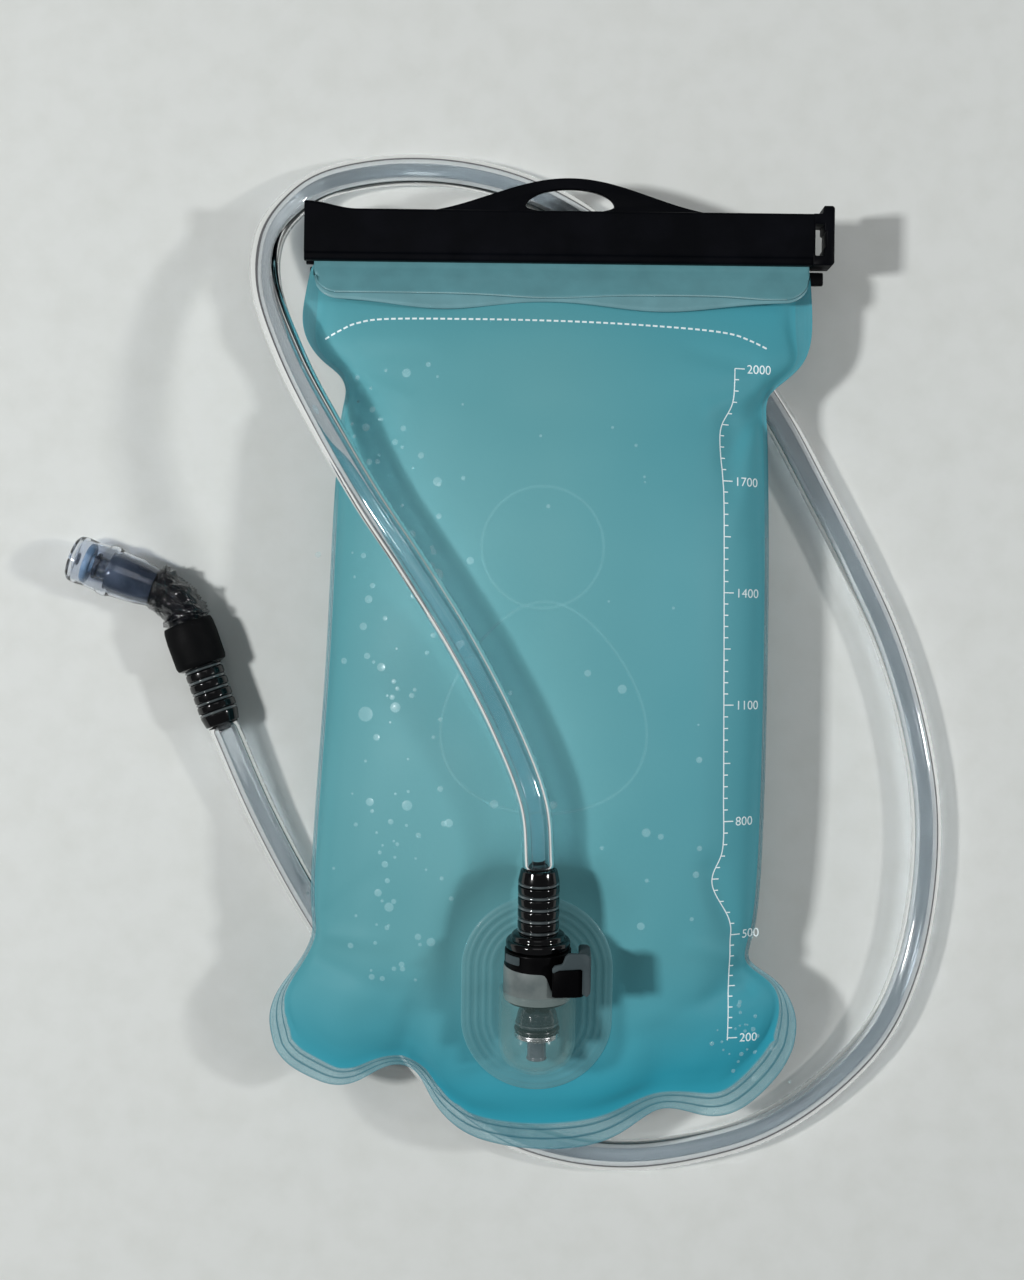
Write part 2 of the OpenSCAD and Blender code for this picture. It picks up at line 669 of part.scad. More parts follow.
elbow_y0 = fit_barb_l + collar_l - socket_l + 0.4;
elbow_out = 8.5;
module elbow() {
    groove_y = elbow_y0 + 2.6;
    color([0.15, 0.18, 0.2])
        union() {
            at_bite()
                difference() {
                    union() {
                        barrel(elbow_r, elbow_y0, bend_at);
                        barrel(elbow_r + 1, fit_barb_l + collar_l + 0.4, bend_at - 4);
                    }
                    ring(elbow_r + 1, elbow_r - 0.9, groove_y - 0.8, groove_y + 0.8);
                    barrel(2.4, elbow_y0 - 1, bend_at - 6);
                }
            at_mouth() sphere(r=elbow_r + 0.3);
            at_mouth() barrel(elbow_r, 0, elbow_out);
        }
}

module elbow_oring() {
    c = 0.46;
    color([0.04, 0.04, 0.04]) at_bite() seal(elbow_r + swivel_gap / 2 - c, c, elbow_y0 + 2.6);
}

core_y0 = elbow_out + 0.3;
core_y1 = 29;
core_r = sheath_r - sheath_t - 0.15;
module shutoff_core() {
    color([0.2, 0.26, 0.32])
        at_mouth()
            difference() {
                union() {
                    barrel(core_r, core_y0, core_y1 - 6);
                    barrel(core_r - 1.6, core_y1 - 6.1, core_y1);
                }
                barrel(2.6, core_y0 + 1, core_y1 + 1);
            }
}

module bite_sheath() {
    slit_w = 9;
    color([0.85, 0.88, 0.9, 0.5])
        at_mouth()
            difference() {
                union() {
                    barrel(sheath_r, core_y0 + 0.2, mouth_l);
                    barrel(sheath_r + 0.5, core_y0 + 9, core_y0 + 11);
                }
                barrel(sheath_r - sheath_t, core_y0, mouth_l - sheath_t);
                // The bite slit across the tip
                translate([-slit_w / 2, mouth_l - sheath_t - 1, -0.15]) cube([slit_w, sheath_t + 2, 0.3]);
            }
}

module tip_disc() {
    color([0.2, 0.26, 0.32])
        at_mouth() ring(sheath_r - sheath_t - 0.1, 3.2, core_y1 + 1.2, core_y1 + 3);
}

front_film();
back_film();
baffle_web();
front_mouth_fold();
back_mouth_fold();
fold_rod();
back_rail();
slide_closure();
port_flange();
port_socket();
latch_housing();
release_button();
button_spring();
coupling_body();
coupling_oring();
valve_cage();
valve_oring();
valve_seat_ring();
valve_poppet();
valve_spring();
drinking_tube();
bite_fitting();
elbow();
elbow_oring();
shutoff_core();
bite_sheath();
tip_disc();
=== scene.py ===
"""Looks of the hydration bladder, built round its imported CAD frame.

Blender's lengths are metres. Shapes are drawn in millimetres and brought to metres by MM.
"""

import math
import random

import bmesh
import bpy
import numpy as np
from mathutils import Matrix, Vector, noise
from mathutils.bvhtree import BVHTree


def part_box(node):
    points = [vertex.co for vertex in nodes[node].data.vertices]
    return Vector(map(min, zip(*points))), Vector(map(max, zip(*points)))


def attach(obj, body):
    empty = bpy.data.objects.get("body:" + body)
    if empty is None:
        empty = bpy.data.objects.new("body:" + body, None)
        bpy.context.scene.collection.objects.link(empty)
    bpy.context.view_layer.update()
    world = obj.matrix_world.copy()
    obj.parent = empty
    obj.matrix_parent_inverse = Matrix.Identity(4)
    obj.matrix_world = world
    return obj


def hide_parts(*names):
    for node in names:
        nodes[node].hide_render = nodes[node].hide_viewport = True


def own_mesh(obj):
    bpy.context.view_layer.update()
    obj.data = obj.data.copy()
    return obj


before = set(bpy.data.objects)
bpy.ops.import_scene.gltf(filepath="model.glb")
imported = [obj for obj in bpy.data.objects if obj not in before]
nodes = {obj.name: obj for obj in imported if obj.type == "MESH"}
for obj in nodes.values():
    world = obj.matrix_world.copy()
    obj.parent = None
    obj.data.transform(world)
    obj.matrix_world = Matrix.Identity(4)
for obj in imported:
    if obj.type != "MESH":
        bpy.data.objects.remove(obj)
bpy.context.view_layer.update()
MM = 0.001
# Edges sharper than this stay crisp in the shading
SHARP = math.radians(40)


# ---------- camera, floor and light ----------
def make_camera():
    """Looks straight down on the lying bag, as high above the table as a held camera."""
    data = bpy.data.cameras.new("camera")
    data.lens = 63.7
    data.sensor_width = 36
    camera = bpy.data.objects.new("camera", data)
    camera.location = (-12.2 * MM, 8.0 * MM, 750 * MM)
    camera.rotation_euler = (0, 0, math.radians(0.7))
    bpy.context.scene.collection.objects.link(camera)
    bpy.context.scene.camera = camera


def area_light(name, azimuth, elevation, distance, size, power):
    """A square soft light aimed at the origin, its angles in degrees."""
    data = bpy.data.lights.new(name, "AREA")
    data.size = size
    data.energy = power
    lamp = bpy.data.objects.new(name, data)
    a, e = math.radians(azimuth), math.radians(elevation)
    way = Vector((math.cos(a) * math.cos(e), math.sin(a) * math.cos(e), math.sin(e)))
    lamp.location = way * distance
    lamp.rotation_euler = way.to_track_quat("Z", "Y").to_euler()
    bpy.context.scene.collection.objects.link(lamp)


def make_light():
    """The stronger light from the left, a weaker one from the right, and a soft fill above."""
    area_light("light_right", 4, 38, 1.5, 0.11, 8.5)
    area_light("light_left", 178, 50, 1.5, 0.13, 15.5)
    area_light("light_top", 95, 66, 1.6, 0.8, 1.6)
    world = bpy.data.worlds.new("room")
    world.use_nodes = True
    background = world.node_tree.nodes["Background"]
    background.inputs["Color"].default_value = (0.93, 0.96, 1, 1)
    background.inputs["Strength"].default_value = 0.13
    bpy.context.scene.world = world
    bpy.context.scene.view_settings.view_transform = "Standard"


# ---------- materials ----------
def linear(r, g, b):
    """A screen colour, 0 to 255, as a linear one."""
    return [((c / 255 + 0.055) / 1.055) ** 2.4 if c > 10 else c / 255 / 12.92 for c in (r, g, b)] + [1]


class Paint:
    """A Principled material whose colour, roughness and bump come from its nodes."""

    def __init__(self, name, **sockets):
        """sockets are the shader's own, with an underscore for each space."""
        self.material = bpy.data.materials.new(name)
        self.material.use_nodes = True
        self.tree = self.material.node_tree
        self.shader = self.tree.nodes["Principled BSDF"]
        for key, value in sockets.items():
            self.shader.inputs[key.replace("_", " ")].default_value = value
        self.place = self.tree.nodes.new("ShaderNodeTexCoord").outputs["Object"]

    def node(self, kind, **settings):
        """A new shader node of this kind, with its settings."""
        made = self.tree.nodes.new("ShaderNode" + kind)
        for key, value in settings.items():
            setattr(made, key, value)
        return made

    def link(self, source, target):
        """Joins an output to an input."""
        self.tree.links.new(source, target)

    def noise(self, scale, detail=3):
        """Cloudy noise, scale in waves a metre."""
        made = self.node("TexNoise")
        made.inputs["Scale"].default_value = scale
        made.inputs["Detail"].default_value = detail
        self.link(self.place, made.inputs["Vector"])
        return made.outputs["Fac"]

    def attribute(self, name):
        """A value that the mesh holds at each point."""
        return self.node("Attribute", attribute_name=name).outputs["Fac"]

    def ramp(self, source, *stops):
        """Maps a value through (place, value) stops."""
        made = self.node("ValToRGB")
        points = made.color_ramp.elements
        while len(points) < len(stops):
            points.new(0.5)
        for point, (at, value) in zip(points, stops):
            point.position = at
            point.color = (value, value, value, 1)
        self.link(source, made.inputs["Fac"])
        return made.outputs["Color"]

    def feed(self, *pairs):
        """Gives each socket its value, which is a number, a colour or another node's output."""
        for value, socket in pairs:
            if isinstance(value, bpy.types.NodeSocket):
                self.link(value, socket)
            else:
                socket.default_value = value

    def mix(self, factor, first, second):
        """Blends two colours, each a socket or a colour."""
        made = self.node("Mix", data_type="RGBA")
        self.feed((factor, made.inputs[0]), (first, made.inputs[6]), (second, made.inputs[7]))
        return made.outputs[2]

    def speckle(self, source, low, high, first, second):
        """Blends two colours as the source goes from low to high."""
        return self.mix(self.ramp(source, (low, 0), (high, 1)), first, second)

    def maths(self, kind, first, second):
        """Joins two values, each a socket or a number."""
        made = self.node("Math", operation=kind)
        self.feed((first, made.inputs[0]), (second, made.inputs[1]))
        return made.outputs[0]

    def colour(self, source):
        """Makes the source the base colour."""
        self.link(source, self.shader.inputs["Base Color"])

    def rough(self, source):
        """Makes the source the roughness."""
        self.link(source, self.shader.inputs["Roughness"])

    def bump(self, source, height, strength):
        """Bumps the surface by the source, height in metres."""
        made = self.node("Bump")
        made.inputs["Distance"].default_value = height
        made.inputs["Strength"].default_value = strength
        self.link(source, made.inputs["Height"])
        self.link(made.outputs["Normal"], self.shader.inputs["Normal"])

    def lets_lamps_through(self, shade):
        """Shadow rays pass with this tint, so that clear plastic casts a light shadow."""
        output = self.tree.nodes["Material Output"]
        clear = self.node("BsdfTransparent")
        clear.inputs["Color"].default_value = shade
        blend = self.node("MixShader")
        self.link(self.node("LightPath").outputs["Is Shadow Ray"], blend.inputs[0])
        self.link(self.shader.outputs[0], blend.inputs[1])
        self.link(clear.outputs[0], blend.inputs[2])
        self.link(blend.outputs[0], output.inputs["Surface"])


def darker(colour, share):
    """The colour scaled down to a share of itself."""
    return [c * share for c in colour]


def film_paint(name, light, middle, deep):
    """Satin film: paler where it bulges and darker down towards the seam, painted highlight and shade, deep
    at the foot of the bag, see-through on the welded flange.
    """
    paint = Paint(name, IOR=1.42, Specular_IOR_Level=0.2)
    across = paint.attribute("across")
    lines = paint.attribute("lines")
    # Painted highlight and shade: the pale colour on top of the bulge, the middle colour down at the seam
    body = paint.speckle(paint.attribute("rise"), 0, 0.85, middle, light)
    cloud = paint.ramp(paint.noise(11), (0.35, 0), (0.75, 0.5))
    body = paint.mix(cloud, body, darker(middle, 0.88))
    # foot deepens the colour at the foot of the bag and just below the mouth, and towards the right as
    # painted shade
    body = paint.mix(paint.attribute("foot"), body, deep)
    pale = paint.speckle(paint.noise(70), 0.3, 0.7, linear(102, 158, 170), linear(130, 182, 190))
    weld = paint.ramp(across, (0.26, 0), (0.31, 1), (0.36, 0), (0.6, 0), (0.65, 1), (0.7, 0))
    weld = paint.maths("MULTIPLY", weld, lines)
    weld = paint.maths("MAXIMUM", weld, paint.ramp(across, (0.93, 0), (1.0, 0.8)))
    flange = paint.mix(weld, pale, linear(40, 96, 112))
    outside = paint.ramp(across, (0.02, 0), (0.12, 1))
    paint.colour(paint.mix(paint.maths("MULTIPLY", outside, lines), body, flange))
    paint.rough(paint.ramp(paint.noise(30, 4), (0.3, 0.5), (0.7, 0.64)))
    thin = paint.maths("ADD", paint.maths("MULTIPLY", lines, 0.43), 0.12)
    thin = paint.maths("SUBTRACT", thin, paint.maths("MULTIPLY", weld, 0.4))
    see_through = paint.maths("MULTIPLY", outside, thin)
    paint.link(paint.maths("SUBTRACT", 1.0, see_through), paint.shader.inputs["Alpha"])
    ridges = paint.maths("MULTIPLY", weld, 3.0)
    paint.bump(paint.maths("ADD", paint.noise(700), ridges), 0.00005, 0.5)
    return paint.material


def thin_clear(name, tint, alpha, rough, rim, coat=0.4, crumple=0.00001):
    """A thin see-through skin that takes highlights, less clear by rim where it turns away.

    Its surface is uneven by about crumple metres.
    """
    paint = Paint(name, Coat_Weight=coat, Coat_Roughness=0.08)
    paint.colour(paint.speckle(paint.noise(120), 0.3, 0.7, tint, darker(tint, 0.85)))
    paint.rough(paint.ramp(paint.noise(300, 2), (0.3, rough), (0.7, rough + 0.1)))
    facing = paint.node("LayerWeight")
    facing.inputs["Blend"].default_value = 0.4
    more = paint.maths("MULTIPLY", facing.outputs["Facing"], rim)
    paint.link(paint.maths("ADD", alpha, more), paint.shader.inputs["Alpha"])
    paint.bump(paint.noise(420), crumple, 0.8)
    return paint.material


def moulded(name, colour, worn, rough, grain=2600, depth=0.00002, **sockets):
    """Moulded plastic with a fine grain, a little paler where handling has polished it."""
    paint = Paint(name, **sockets)
    paint.colour(paint.speckle(paint.noise(90, 4), 0.4, 0.75, colour, worn))
    paint.rough(paint.ramp(paint.noise(240, 4), (0.3, rough - 0.06), (0.7, rough + 0.08)))
    paint.bump(paint.noise(grain, 2), depth, 0.5)
    return paint.material


def clear_plastic(name, tint, shade, rough, ior):
    """Clear plastic or silicone, faintly rippled, casting a light shadow."""
    paint = Paint(name, Transmission_Weight=1.0, Roughness=rough, IOR=ior)
    paint.colour(paint.speckle(paint.noise(50, 2), 0.3, 0.7, tint, darker(tint, 0.96)))
    paint.bump(paint.noise(300, 2), 0.00003, 0.4)
    paint.lets_lamps_through(shade)
    return paint.material


def metal(name, colour, rough):
    """Bare metal, a little duller in spots."""
    paint = Paint(name, Metallic=1.0)
    paint.colour(paint.speckle(paint.noise(800), 0.3, 0.7, colour, darker(colour, 0.8)))
    paint.rough(paint.ramp(paint.noise(1500, 2), (0.3, rough - 0.05), (0.7, rough + 0.1)))
    return paint.material


def make_materials():
    """Every material by its short name. linear's numbers are screen colours."""
    dark = {"Specular_IOR_Level": 0.05}
    return {
        "film": film_paint("film", linear(105, 164, 170), linear(82, 152, 161), linear(46, 149, 169)),
        # The back film's colours are the front film's made darker: painted shade for the film that lies
        # underneath
        "film_back": film_paint(
            "film_back", linear(96, 155, 162), linear(71, 141, 151), linear(38, 140, 158)),
        "flap": thin_clear("flap_film", linear(95, 150, 158), 0.88, 0.4, 0.1, 0.05),
        "flap_lip": thin_clear("flap_lip_film", linear(118, 168, 176), 0.8, 0.4, 0.2, 0.05),
        "weld": thin_clear("weld_film", linear(130, 190, 196), 0.32, 0.4, 0.5, 0.1),
        "slide": moulded("slide_black", linear(4, 5, 8), linear(9, 10, 15), 0.45, 1800, 0.00003, **dark),
        "black": moulded("gloss_black", linear(2, 2, 3), linear(6, 6, 7), 0.1, 900, 0.00001),
        "satin": moulded("satin_black", linear(5, 5, 6), linear(11, 11, 12), 0.34, 3000, 0.00003, **dark),
        "matte": moulded("matte_black", linear(9, 10, 11), linear(16, 16, 17), 0.6, 2200, 0.00004, **dark),
        "grey": moulded("button_grey", linear(62, 72, 75), linear(80, 89, 92), 0.4, **dark),
        "frost": moulded("housing_frost", linear(88, 98, 98), linear(122, 130, 128), 0.36, 700, 0.00004),
        "valve": moulded("valve_grey", linear(70, 80, 86), linear(104, 112, 118), 0.25),
        "seal": moulded("seal_black", linear(3, 3, 4), linear(8, 8, 9), 0.25),
        "core": moulded(
            "core_smoke", linear(32, 40, 50), linear(68, 78, 90), 0.14, 500, 0.00001, Coat_Weight=0.4),
        "disc": moulded("disc_blue", linear(84, 112, 134), linear(130, 152, 168), 0.2, 500, 0.00001),
        # Grey bands laid in grooves: painted highlight standing for the clear hose's shine over the dark
        # barbs
        "rings": moulded(
            "ring_painted_highlight", linear(52, 58, 60), linear(84, 92, 94), 0.1, 500, 0.00001, Coat_Weight=1.0),
        "tube": clear_plastic("tube_clear", linear(236, 240, 244), (0.52, 0.54, 0.55, 1), 0.06, 1.42),
        "port": thin_clear("port_clear", linear(150, 190, 186), 0.04, 0.08, 0.16, 0.3),
        "dome": thin_clear("dome_clear", linear(44, 56, 60), 0.55, 0.05, 0.35),
        "sheath": clear_plastic("sheath_silicone", linear(232, 236, 243), (0.6, 0.62, 0.67, 1), 0.04, 1.42),
        "folds": thin_clear("sheath_folds", linear(22, 25, 30), 0.34, 0.03, 0.4, 1.0, 0.0005),
        "steel": metal("spring_steel", (0.62, 0.63, 0.64, 1), 0.25),
        "silver": metal("seat_ring", (0.55, 0.56, 0.56, 1), 0.22),
        "print": moulded("print_white", linear(232, 244, 245), linear(214, 230, 232), 0.5),
        "bubble": thin_clear("bubble", linear(190, 228, 232), 0.26, 0.3, 0.1, 0.1),
        "drop": thin_clear("water_drop", linear(200, 230, 234), 0.2, 0.03, 0.5, 1.0),
        "trace": thin_clear("weld_trace", linear(150, 204, 208), 0.14, 0.4, 0.0, 0.0),
        "floor": moulded("table_white", linear(211, 214, 211), linear(206, 209, 205), 0.6, 400, 0.00005),
    }


# ---------- mesh helpers ----------
def put(name, points, faces, material):
    """A smooth-shaded object made of the points, in metres, and the faces."""
    mesh = bpy.data.meshes.new(name)
    mesh.from_pydata([tuple(p) for p in points], [], faces)
    mesh.update()
    made = bpy.data.objects.new(name, mesh)
    bpy.context.scene.collection.objects.link(made)
    mesh.materials.append(material)
    mesh.shade_smooth()
    return made


def put_sheet(name, sheet, material):
    """An object made of a bmesh, which is freed."""
    made = put(name, [], [], material)
    sheet.to_mesh(made.data)
    sheet.free()
    made.data.materials.clear()
    made.data.materials.append(material)
    return made


def apply_modifiers(piece):
    """Makes what the modifiers do part of the mesh."""
    graph = bpy.context.evaluated_depsgraph_get()
    mesh = bpy.data.meshes.new_from_object(piece.evaluated_get(graph))
    piece.modifiers.clear()
    piece.data = mesh


def round_edges(piece, width, segments, angle):
    """Bevels the edges sharper than angle, in degrees, by width, in millimetres."""
    bevel = piece.modifiers.new("round", "BEVEL")
    bevel.width = width * MM
    bevel.segments = segments
    bevel.limit_method = "ANGLE"
    bevel.angle_limit = math.radians(angle)
    apply_modifiers(piece)
    piece.data.shade_smooth()
    piece.data.set_sharp_from_angle(angle=SHARP)


def stand_for(piece, body, slot, *replaced):
    """Rides the piece on a body and lets it replace CAD nodes. slot is not used."""
    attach(piece, body)
    if replaced:
        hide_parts(*replaced)
    return piece


def smooth_run(points, steps):
    """A Catmull-Rom curve through the points."""
    p = [np.array(q, float) for q in points]
    p = [2 * p[0] - p[1]] + p + [2 * p[-1] - p[-2]]
    out = []
    for a, b, c, d in zip(p, p[1:], p[2:], p[3:]):
        for k in range(steps):
            t = k / steps
            square = (2 * a - 5 * b + 4 * c - d) * t**2
            cube = (3 * b - a - 3 * c + d) * t**3
            out.append(0.5 * (2 * b + (c - a) * t + square + cube))
    return out + [p[-2]]


def frames_along(line):
    """A direction and two crosswise axes at each point, turning as little as they can."""
    line = np.array(line)
    ways = np.gradient(line, axis=0)
    ways /= np.linalg.norm(ways, axis=1)[:, None]
    side = np.cross(ways[0], [0, 0, 1])
    side /= np.linalg.norm(side)
    sides = []
    for way in ways:
        side = side - way * (side @ way)
        side /= np.linalg.norm(side)
        sides.append(side)
    sides = np.array(sides)
    return line, ways, sides, np.cross(sides, ways)


def skin(rows, sides, start=0, turned=False, closed=False):
    """Faces between successive rings of points. closed joins the last ring to the first."""
    faces = []
    for i in range(rows if closed else rows - 1):
        near = start + i * sides
        far = start + (i + 1) % rows * sides
        for k in range(sides):
            m = (k + 1) % sides
            if turned:
                faces.append([near + k, far + k, far + m, near + m])
            else:
                faces.append([near + k, near + m, far + m, far + k])
    return faces


def sweep(name, line, radii, material, sides, hollow=None):
    """A tube along the line. radii is one number or one for each point, hollow the bore's radius."""
    line, _, a, b = frames_along(line)
    n = len(line)
    angles = np.linspace(0, 2 * math.pi, sides, endpoint=False)

    def rings(radius):
        """Rings of points along the line."""
        radius = np.broadcast_to(radius, n)
        points = []
        for i in range(n):
            points += [line[i] + radius[i] * (math.cos(t) * a[i] + math.sin(t) * b[i]) for t in angles]
        return points

    points = rings(radii)
    faces = skin(n, sides)
    last = (n - 1) * sides
    if hollow is None:
        faces += [list(range(sides))[::-1], [last + k for k in range(sides)]]
    else:
        inner = len(points)
        points += rings(hollow)
        faces += skin(n, sides, inner, True)
        for k in range(sides):
            m = (k + 1) % sides
            faces.append([k, inner + k, inner + m, m])
            faces.append([last + k, last + m, inner + last + m, inner + last + k])
    return put(name, points, faces, material)


def eased_profile(points, radius):
    """Rounds the corners between the two ends of a profile."""
    steps = 4
    out = [points[0]]
    for before, here, after in zip(points, points[1:], points[2:]):
        here = np.array(here, float)
        ends = []
        for other in (before, after):
            gap = np.array(other, float) - here
            length = np.linalg.norm(gap)
            ends.append(here + gap / length * min(radius, length * 0.45))
        for k in range(steps + 1):
            t = k / steps
            out.append(tuple((1 - t) ** 2 * ends[0] + 2 * t * (1 - t) * here + t**2 * ends[1]))
    return out + [points[-1]]


def lathe(name, profile, place, material, sides, closed=False):
    """Turns a profile of (r, y) in millimetres about the local Y axis. closed joins its ends."""
    points = []
    n = len(profile)
    for r, y in profile:
        for k in range(sides):
            t = 2 * math.pi * k / sides
            points.append(place @ Vector((r * math.sin(t) * MM, y * MM, r * math.cos(t) * MM)))
    faces = skin(n, sides, turned=True, closed=closed)
    if not closed:
        faces += [list(range(sides)), [(n - 1) * sides + k for k in range(sides)][::-1]]
    made = put(name, points, faces, material)
    joined = bmesh.new()
    joined.from_mesh(made.data)
    bmesh.ops.remove_doubles(joined, verts=joined.verts, dist=1e-7)
    bmesh.ops.recalc_face_normals(joined, faces=joined.faces)
    joined.to_mesh(made.data)
    joined.free()
    made.data.set_sharp_from_angle(angle=math.radians(50))
    return made


def oval(middle, half, turns):
    """Points round an oval. middle and half are its centre and half sizes."""
    return [(middle[0] + half[0] * math.cos(t), middle[1] + half[1] * math.sin(t)) for t in turns]


def band(name, radius, y, half, place, material):
    """A thin ring round the local Y axis. half is its section's half sizes."""
    turns = np.linspace(0, 2 * math.pi, 12, endpoint=False)
    return lathe(name, oval((radius, y), half, turns), place, material, 64, True)


# ---------- drinking tube ----------
# The route's points are those of the construction, in metres.
TUBE_D = 10 * MM
TUBE_ROUTE = [
    (x * MM, y * MM, z * MM) for x, y, z in [
        (-3, -62.3, 53.4), (-5, -42, 56), (-14, -19, 57), (-27, 5.5, 56.5), (-42, 29, 55), (-57, 51, 51.5),
        (-71, 74, 45.5), (-83, 96, 36), (-92, 119, 25), (-92.5, 137, 15.5), (-85, 150, 9), (-73, 158, 6),
        (-52, 162, 5), (-29, 161, 5), (-7, 155, 5), (15, 143, 5), (37, 126, 5), (56, 107, 5),
        (73, 84, 5), (88, 57, 5), (101, 32, 5), (112, 8, 5), (120, -18, 5), (124.5, -45, 5),
        (124, -72, 5), (119, -98, 5), (109, -120, 5), (92, -138, 5), (72, -151, 5), (50, -158, 5),
        (28, -161, 5), (6, -159, 5), (-14, -152, 5), (-33, -138, 5), (-50, -119, 5), (-66, -97, 5),
        (-81, -73.5, 5), (-94.5, -48, 6.5), (-106.5, -20.5, 8.6)]]


def make_tube(paint, bite_pieces):
    """The hose, a clear tube with its bore. bite_pieces is not used."""
    line = smooth_run(TUBE_ROUTE, 12)
    tube = sweep("hose", line, TUBE_D / 2, paint["tube"], 32, 3.1 * MM)
    stand_for(tube, "root", "tube_clear", "drinking_tube")


# ---------- films ----------
PORT = Matrix.Translation(Vector((-3, -87, 49)) * MM) @ Matrix.Rotation(math.radians(10), 4, "X")
FLANGE_MID = (-3, -104)
# Creases in the front film: from x, y to x, y, then height and width, in millimetres. Below zero is a dent.
CREASES = [
    (-64, 92, -46, 84, 1.3, 3.0), (-63, 87, -50, 73, -1.3, 3.2), (-60, 98, -42, 98, -0.9, 3.5),
    (-62, 78, -56, 52, 0.9, 3.5), (66, 88, 50, 82, 1.4, 3.0), (65, 82, 54, 66, -1.4, 3.2),
    (62, 96, 44, 100, -1.0, 3.5), (64, 74, 58, 44, 0.8, 3.5), (-72, -86, -52, -88, 1.2, 3.2),
    (-70, -80, -54, -66, -1.0, 3.5), (-72, -96, -50, -104, -1.2, 3.5), (62, -92, 46, -88, 1.3, 3.0),
    (61, -86, 52, -70, -1.2, 3.4), (64, -102, 44, -108, -1.2, 3.4), (-44, -124, -42, -104, -1.6, 4.0),
    (-50, -126, -56, -108, 1.0, 4.0), (-38, -128, -28, -112, 0.9, 4.0), (38, -136, 36, -116, -1.4, 4.0),
    (45, -138, 52, -118, 0.9, 4.0), (30, -138, 24, -124, 0.8, 4.0), (56, 78, 57, 56, -1.5, 4.5),
    (52, -64, 58, -84, -1.5, 4.5), (-20, 108, 24, 106, 0.5, 6.0)]


def crease_height(x, y):
    """How far the creases lift the film, in metres, at arrays of places in millimetres."""
    total = np.zeros_like(x)
    for x0, y0, x1, y1, height, width in CREASES:
        dx, dy = x1 - x0, y1 - y0
        t = np.clip(((x - x0) * dx + (y - y0) * dy) / (dx * dx + dy * dy), 0, 1)
        off = np.hypot(x - x0 - t * dx, y - y0 - t * dy)
        total += height * MM * (1 - 0.6 * t) * np.exp(-((off / width) ** 2))
    return total


def open_rim(sheet):
    """The vertices on the sheet's open edge."""
    return {v for e in sheet.edges if e.is_boundary for v in e.verts}


def film_sheet(name, node, side, material):
    """A film's outer skin as a fine smooth sheet. side is 1 for the front film and -1 for the back.

    Its paint reads four values at each point: across goes from 0 inside the weld to 1 at the rim, rise
    from 0 at the seam to 1 at the top, foot is how deep the colour is, and lines how clear the flange is.
    """
    low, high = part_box(node)
    seam_z = low.z + 0.4 * MM if side > 0 else high.z - 0.4 * MM
    sheet = bmesh.new()
    sheet.from_mesh(nodes[node].data)
    bmesh.ops.remove_doubles(sheet, verts=sheet.verts, dist=2e-6)
    bmesh.ops.recalc_face_normals(sheet, faces=sheet.faces)
    bmesh.ops.delete(sheet, geom=[f for f in sheet.faces if f.normal.z * side < 0.02], context="FACES")
    bmesh.ops.join_triangles(
        sheet, faces=sheet.faces, angle_face_threshold=3.1, angle_shape_threshold=3.1)
    layer = sheet.verts.layers.float.new("across")
    for v in open_rim(sheet):
        v[layer] = 1.0 if v.co.y < high.y - 0.2 * MM else 0.0
    made = put_sheet(name, sheet, material)
    finer = made.modifiers.new("finer", "SUBSURF")
    finer.levels = finer.render_levels = 2
    apply_modifiers(made)
    mesh = made.data
    n = len(mesh.vertices)
    co = np.empty(n * 3)
    mesh.vertices.foreach_get("co", co)
    co = co.reshape(n, 3)
    x, y = co[:, 0] / MM, co[:, 1] / MM
    # rise also carries the paint's painted highlight and shade: paler at the top, darker at the seam
    rise = np.clip((co[:, 2] - seam_z) * side / (22 * MM), 0, 1)
    foot = np.clip((-92 - y) / 44, 0, 1) * (1 - 0.8 * rise) + 0.1 * np.clip((y - 98) / 18, 0, 1)
    # Painted shade: the colour deepens towards the right, away from the stronger light on the left
    foot = np.clip(foot + 0.4 * np.clip(x / 70, 0, 1), 0, 1)
    lines = np.clip((60 - y) / 20, 0.15, 1)
    port = np.hypot(x - FLANGE_MID[0], np.maximum(0, np.abs(y - FLANGE_MID[1]) - 8))
    bulge = np.clip(rise * 5, 0, 1)
    uneven = np.array([noise.noise(Vector((p[0] * 34, p[1] * 22, 0.4))) for p in co]) * 0.5 * MM
    if side > 0:
        # The creases keep off the port's flange and the mouth
        free = bulge * np.clip((port - 25) / 10, 0, 1) * np.clip((126 - y) / 8, 0, 1)
        co[:, 2] += free * (crease_height(x, y) + uneven)
    else:
        # The back film never reaches below the table
        co[:, 2] += bulge * np.abs(uneven) * np.clip((co[:, 2] - 1 * MM) / (3 * MM), 0, 1)
    # The welded edge waves a little towards the corners
    edge = (1 - np.clip(rise * 8, 0, 1)) * np.clip((120 - y) / 10, 0, 1)
    co[:, 2] += edge * 0.8 * MM * np.sin(x / 9 + y / 13) * np.clip(np.abs(y + 20) / 60 - 0.6, 0, 1)
    mesh.vertices.foreach_set("co", co.ravel())
    for label, values in (("rise", rise), ("foot", foot), ("lines", lines)):
        mesh.attributes.new(label, "FLOAT", "POINT").data.foreach_set("value", values)
    mesh.update()
    mesh.shade_smooth()
    return made


# ---------- mouth ----------
MOUTH_X = -77
MOUTH_L = 158.5
LIP_Y = 118


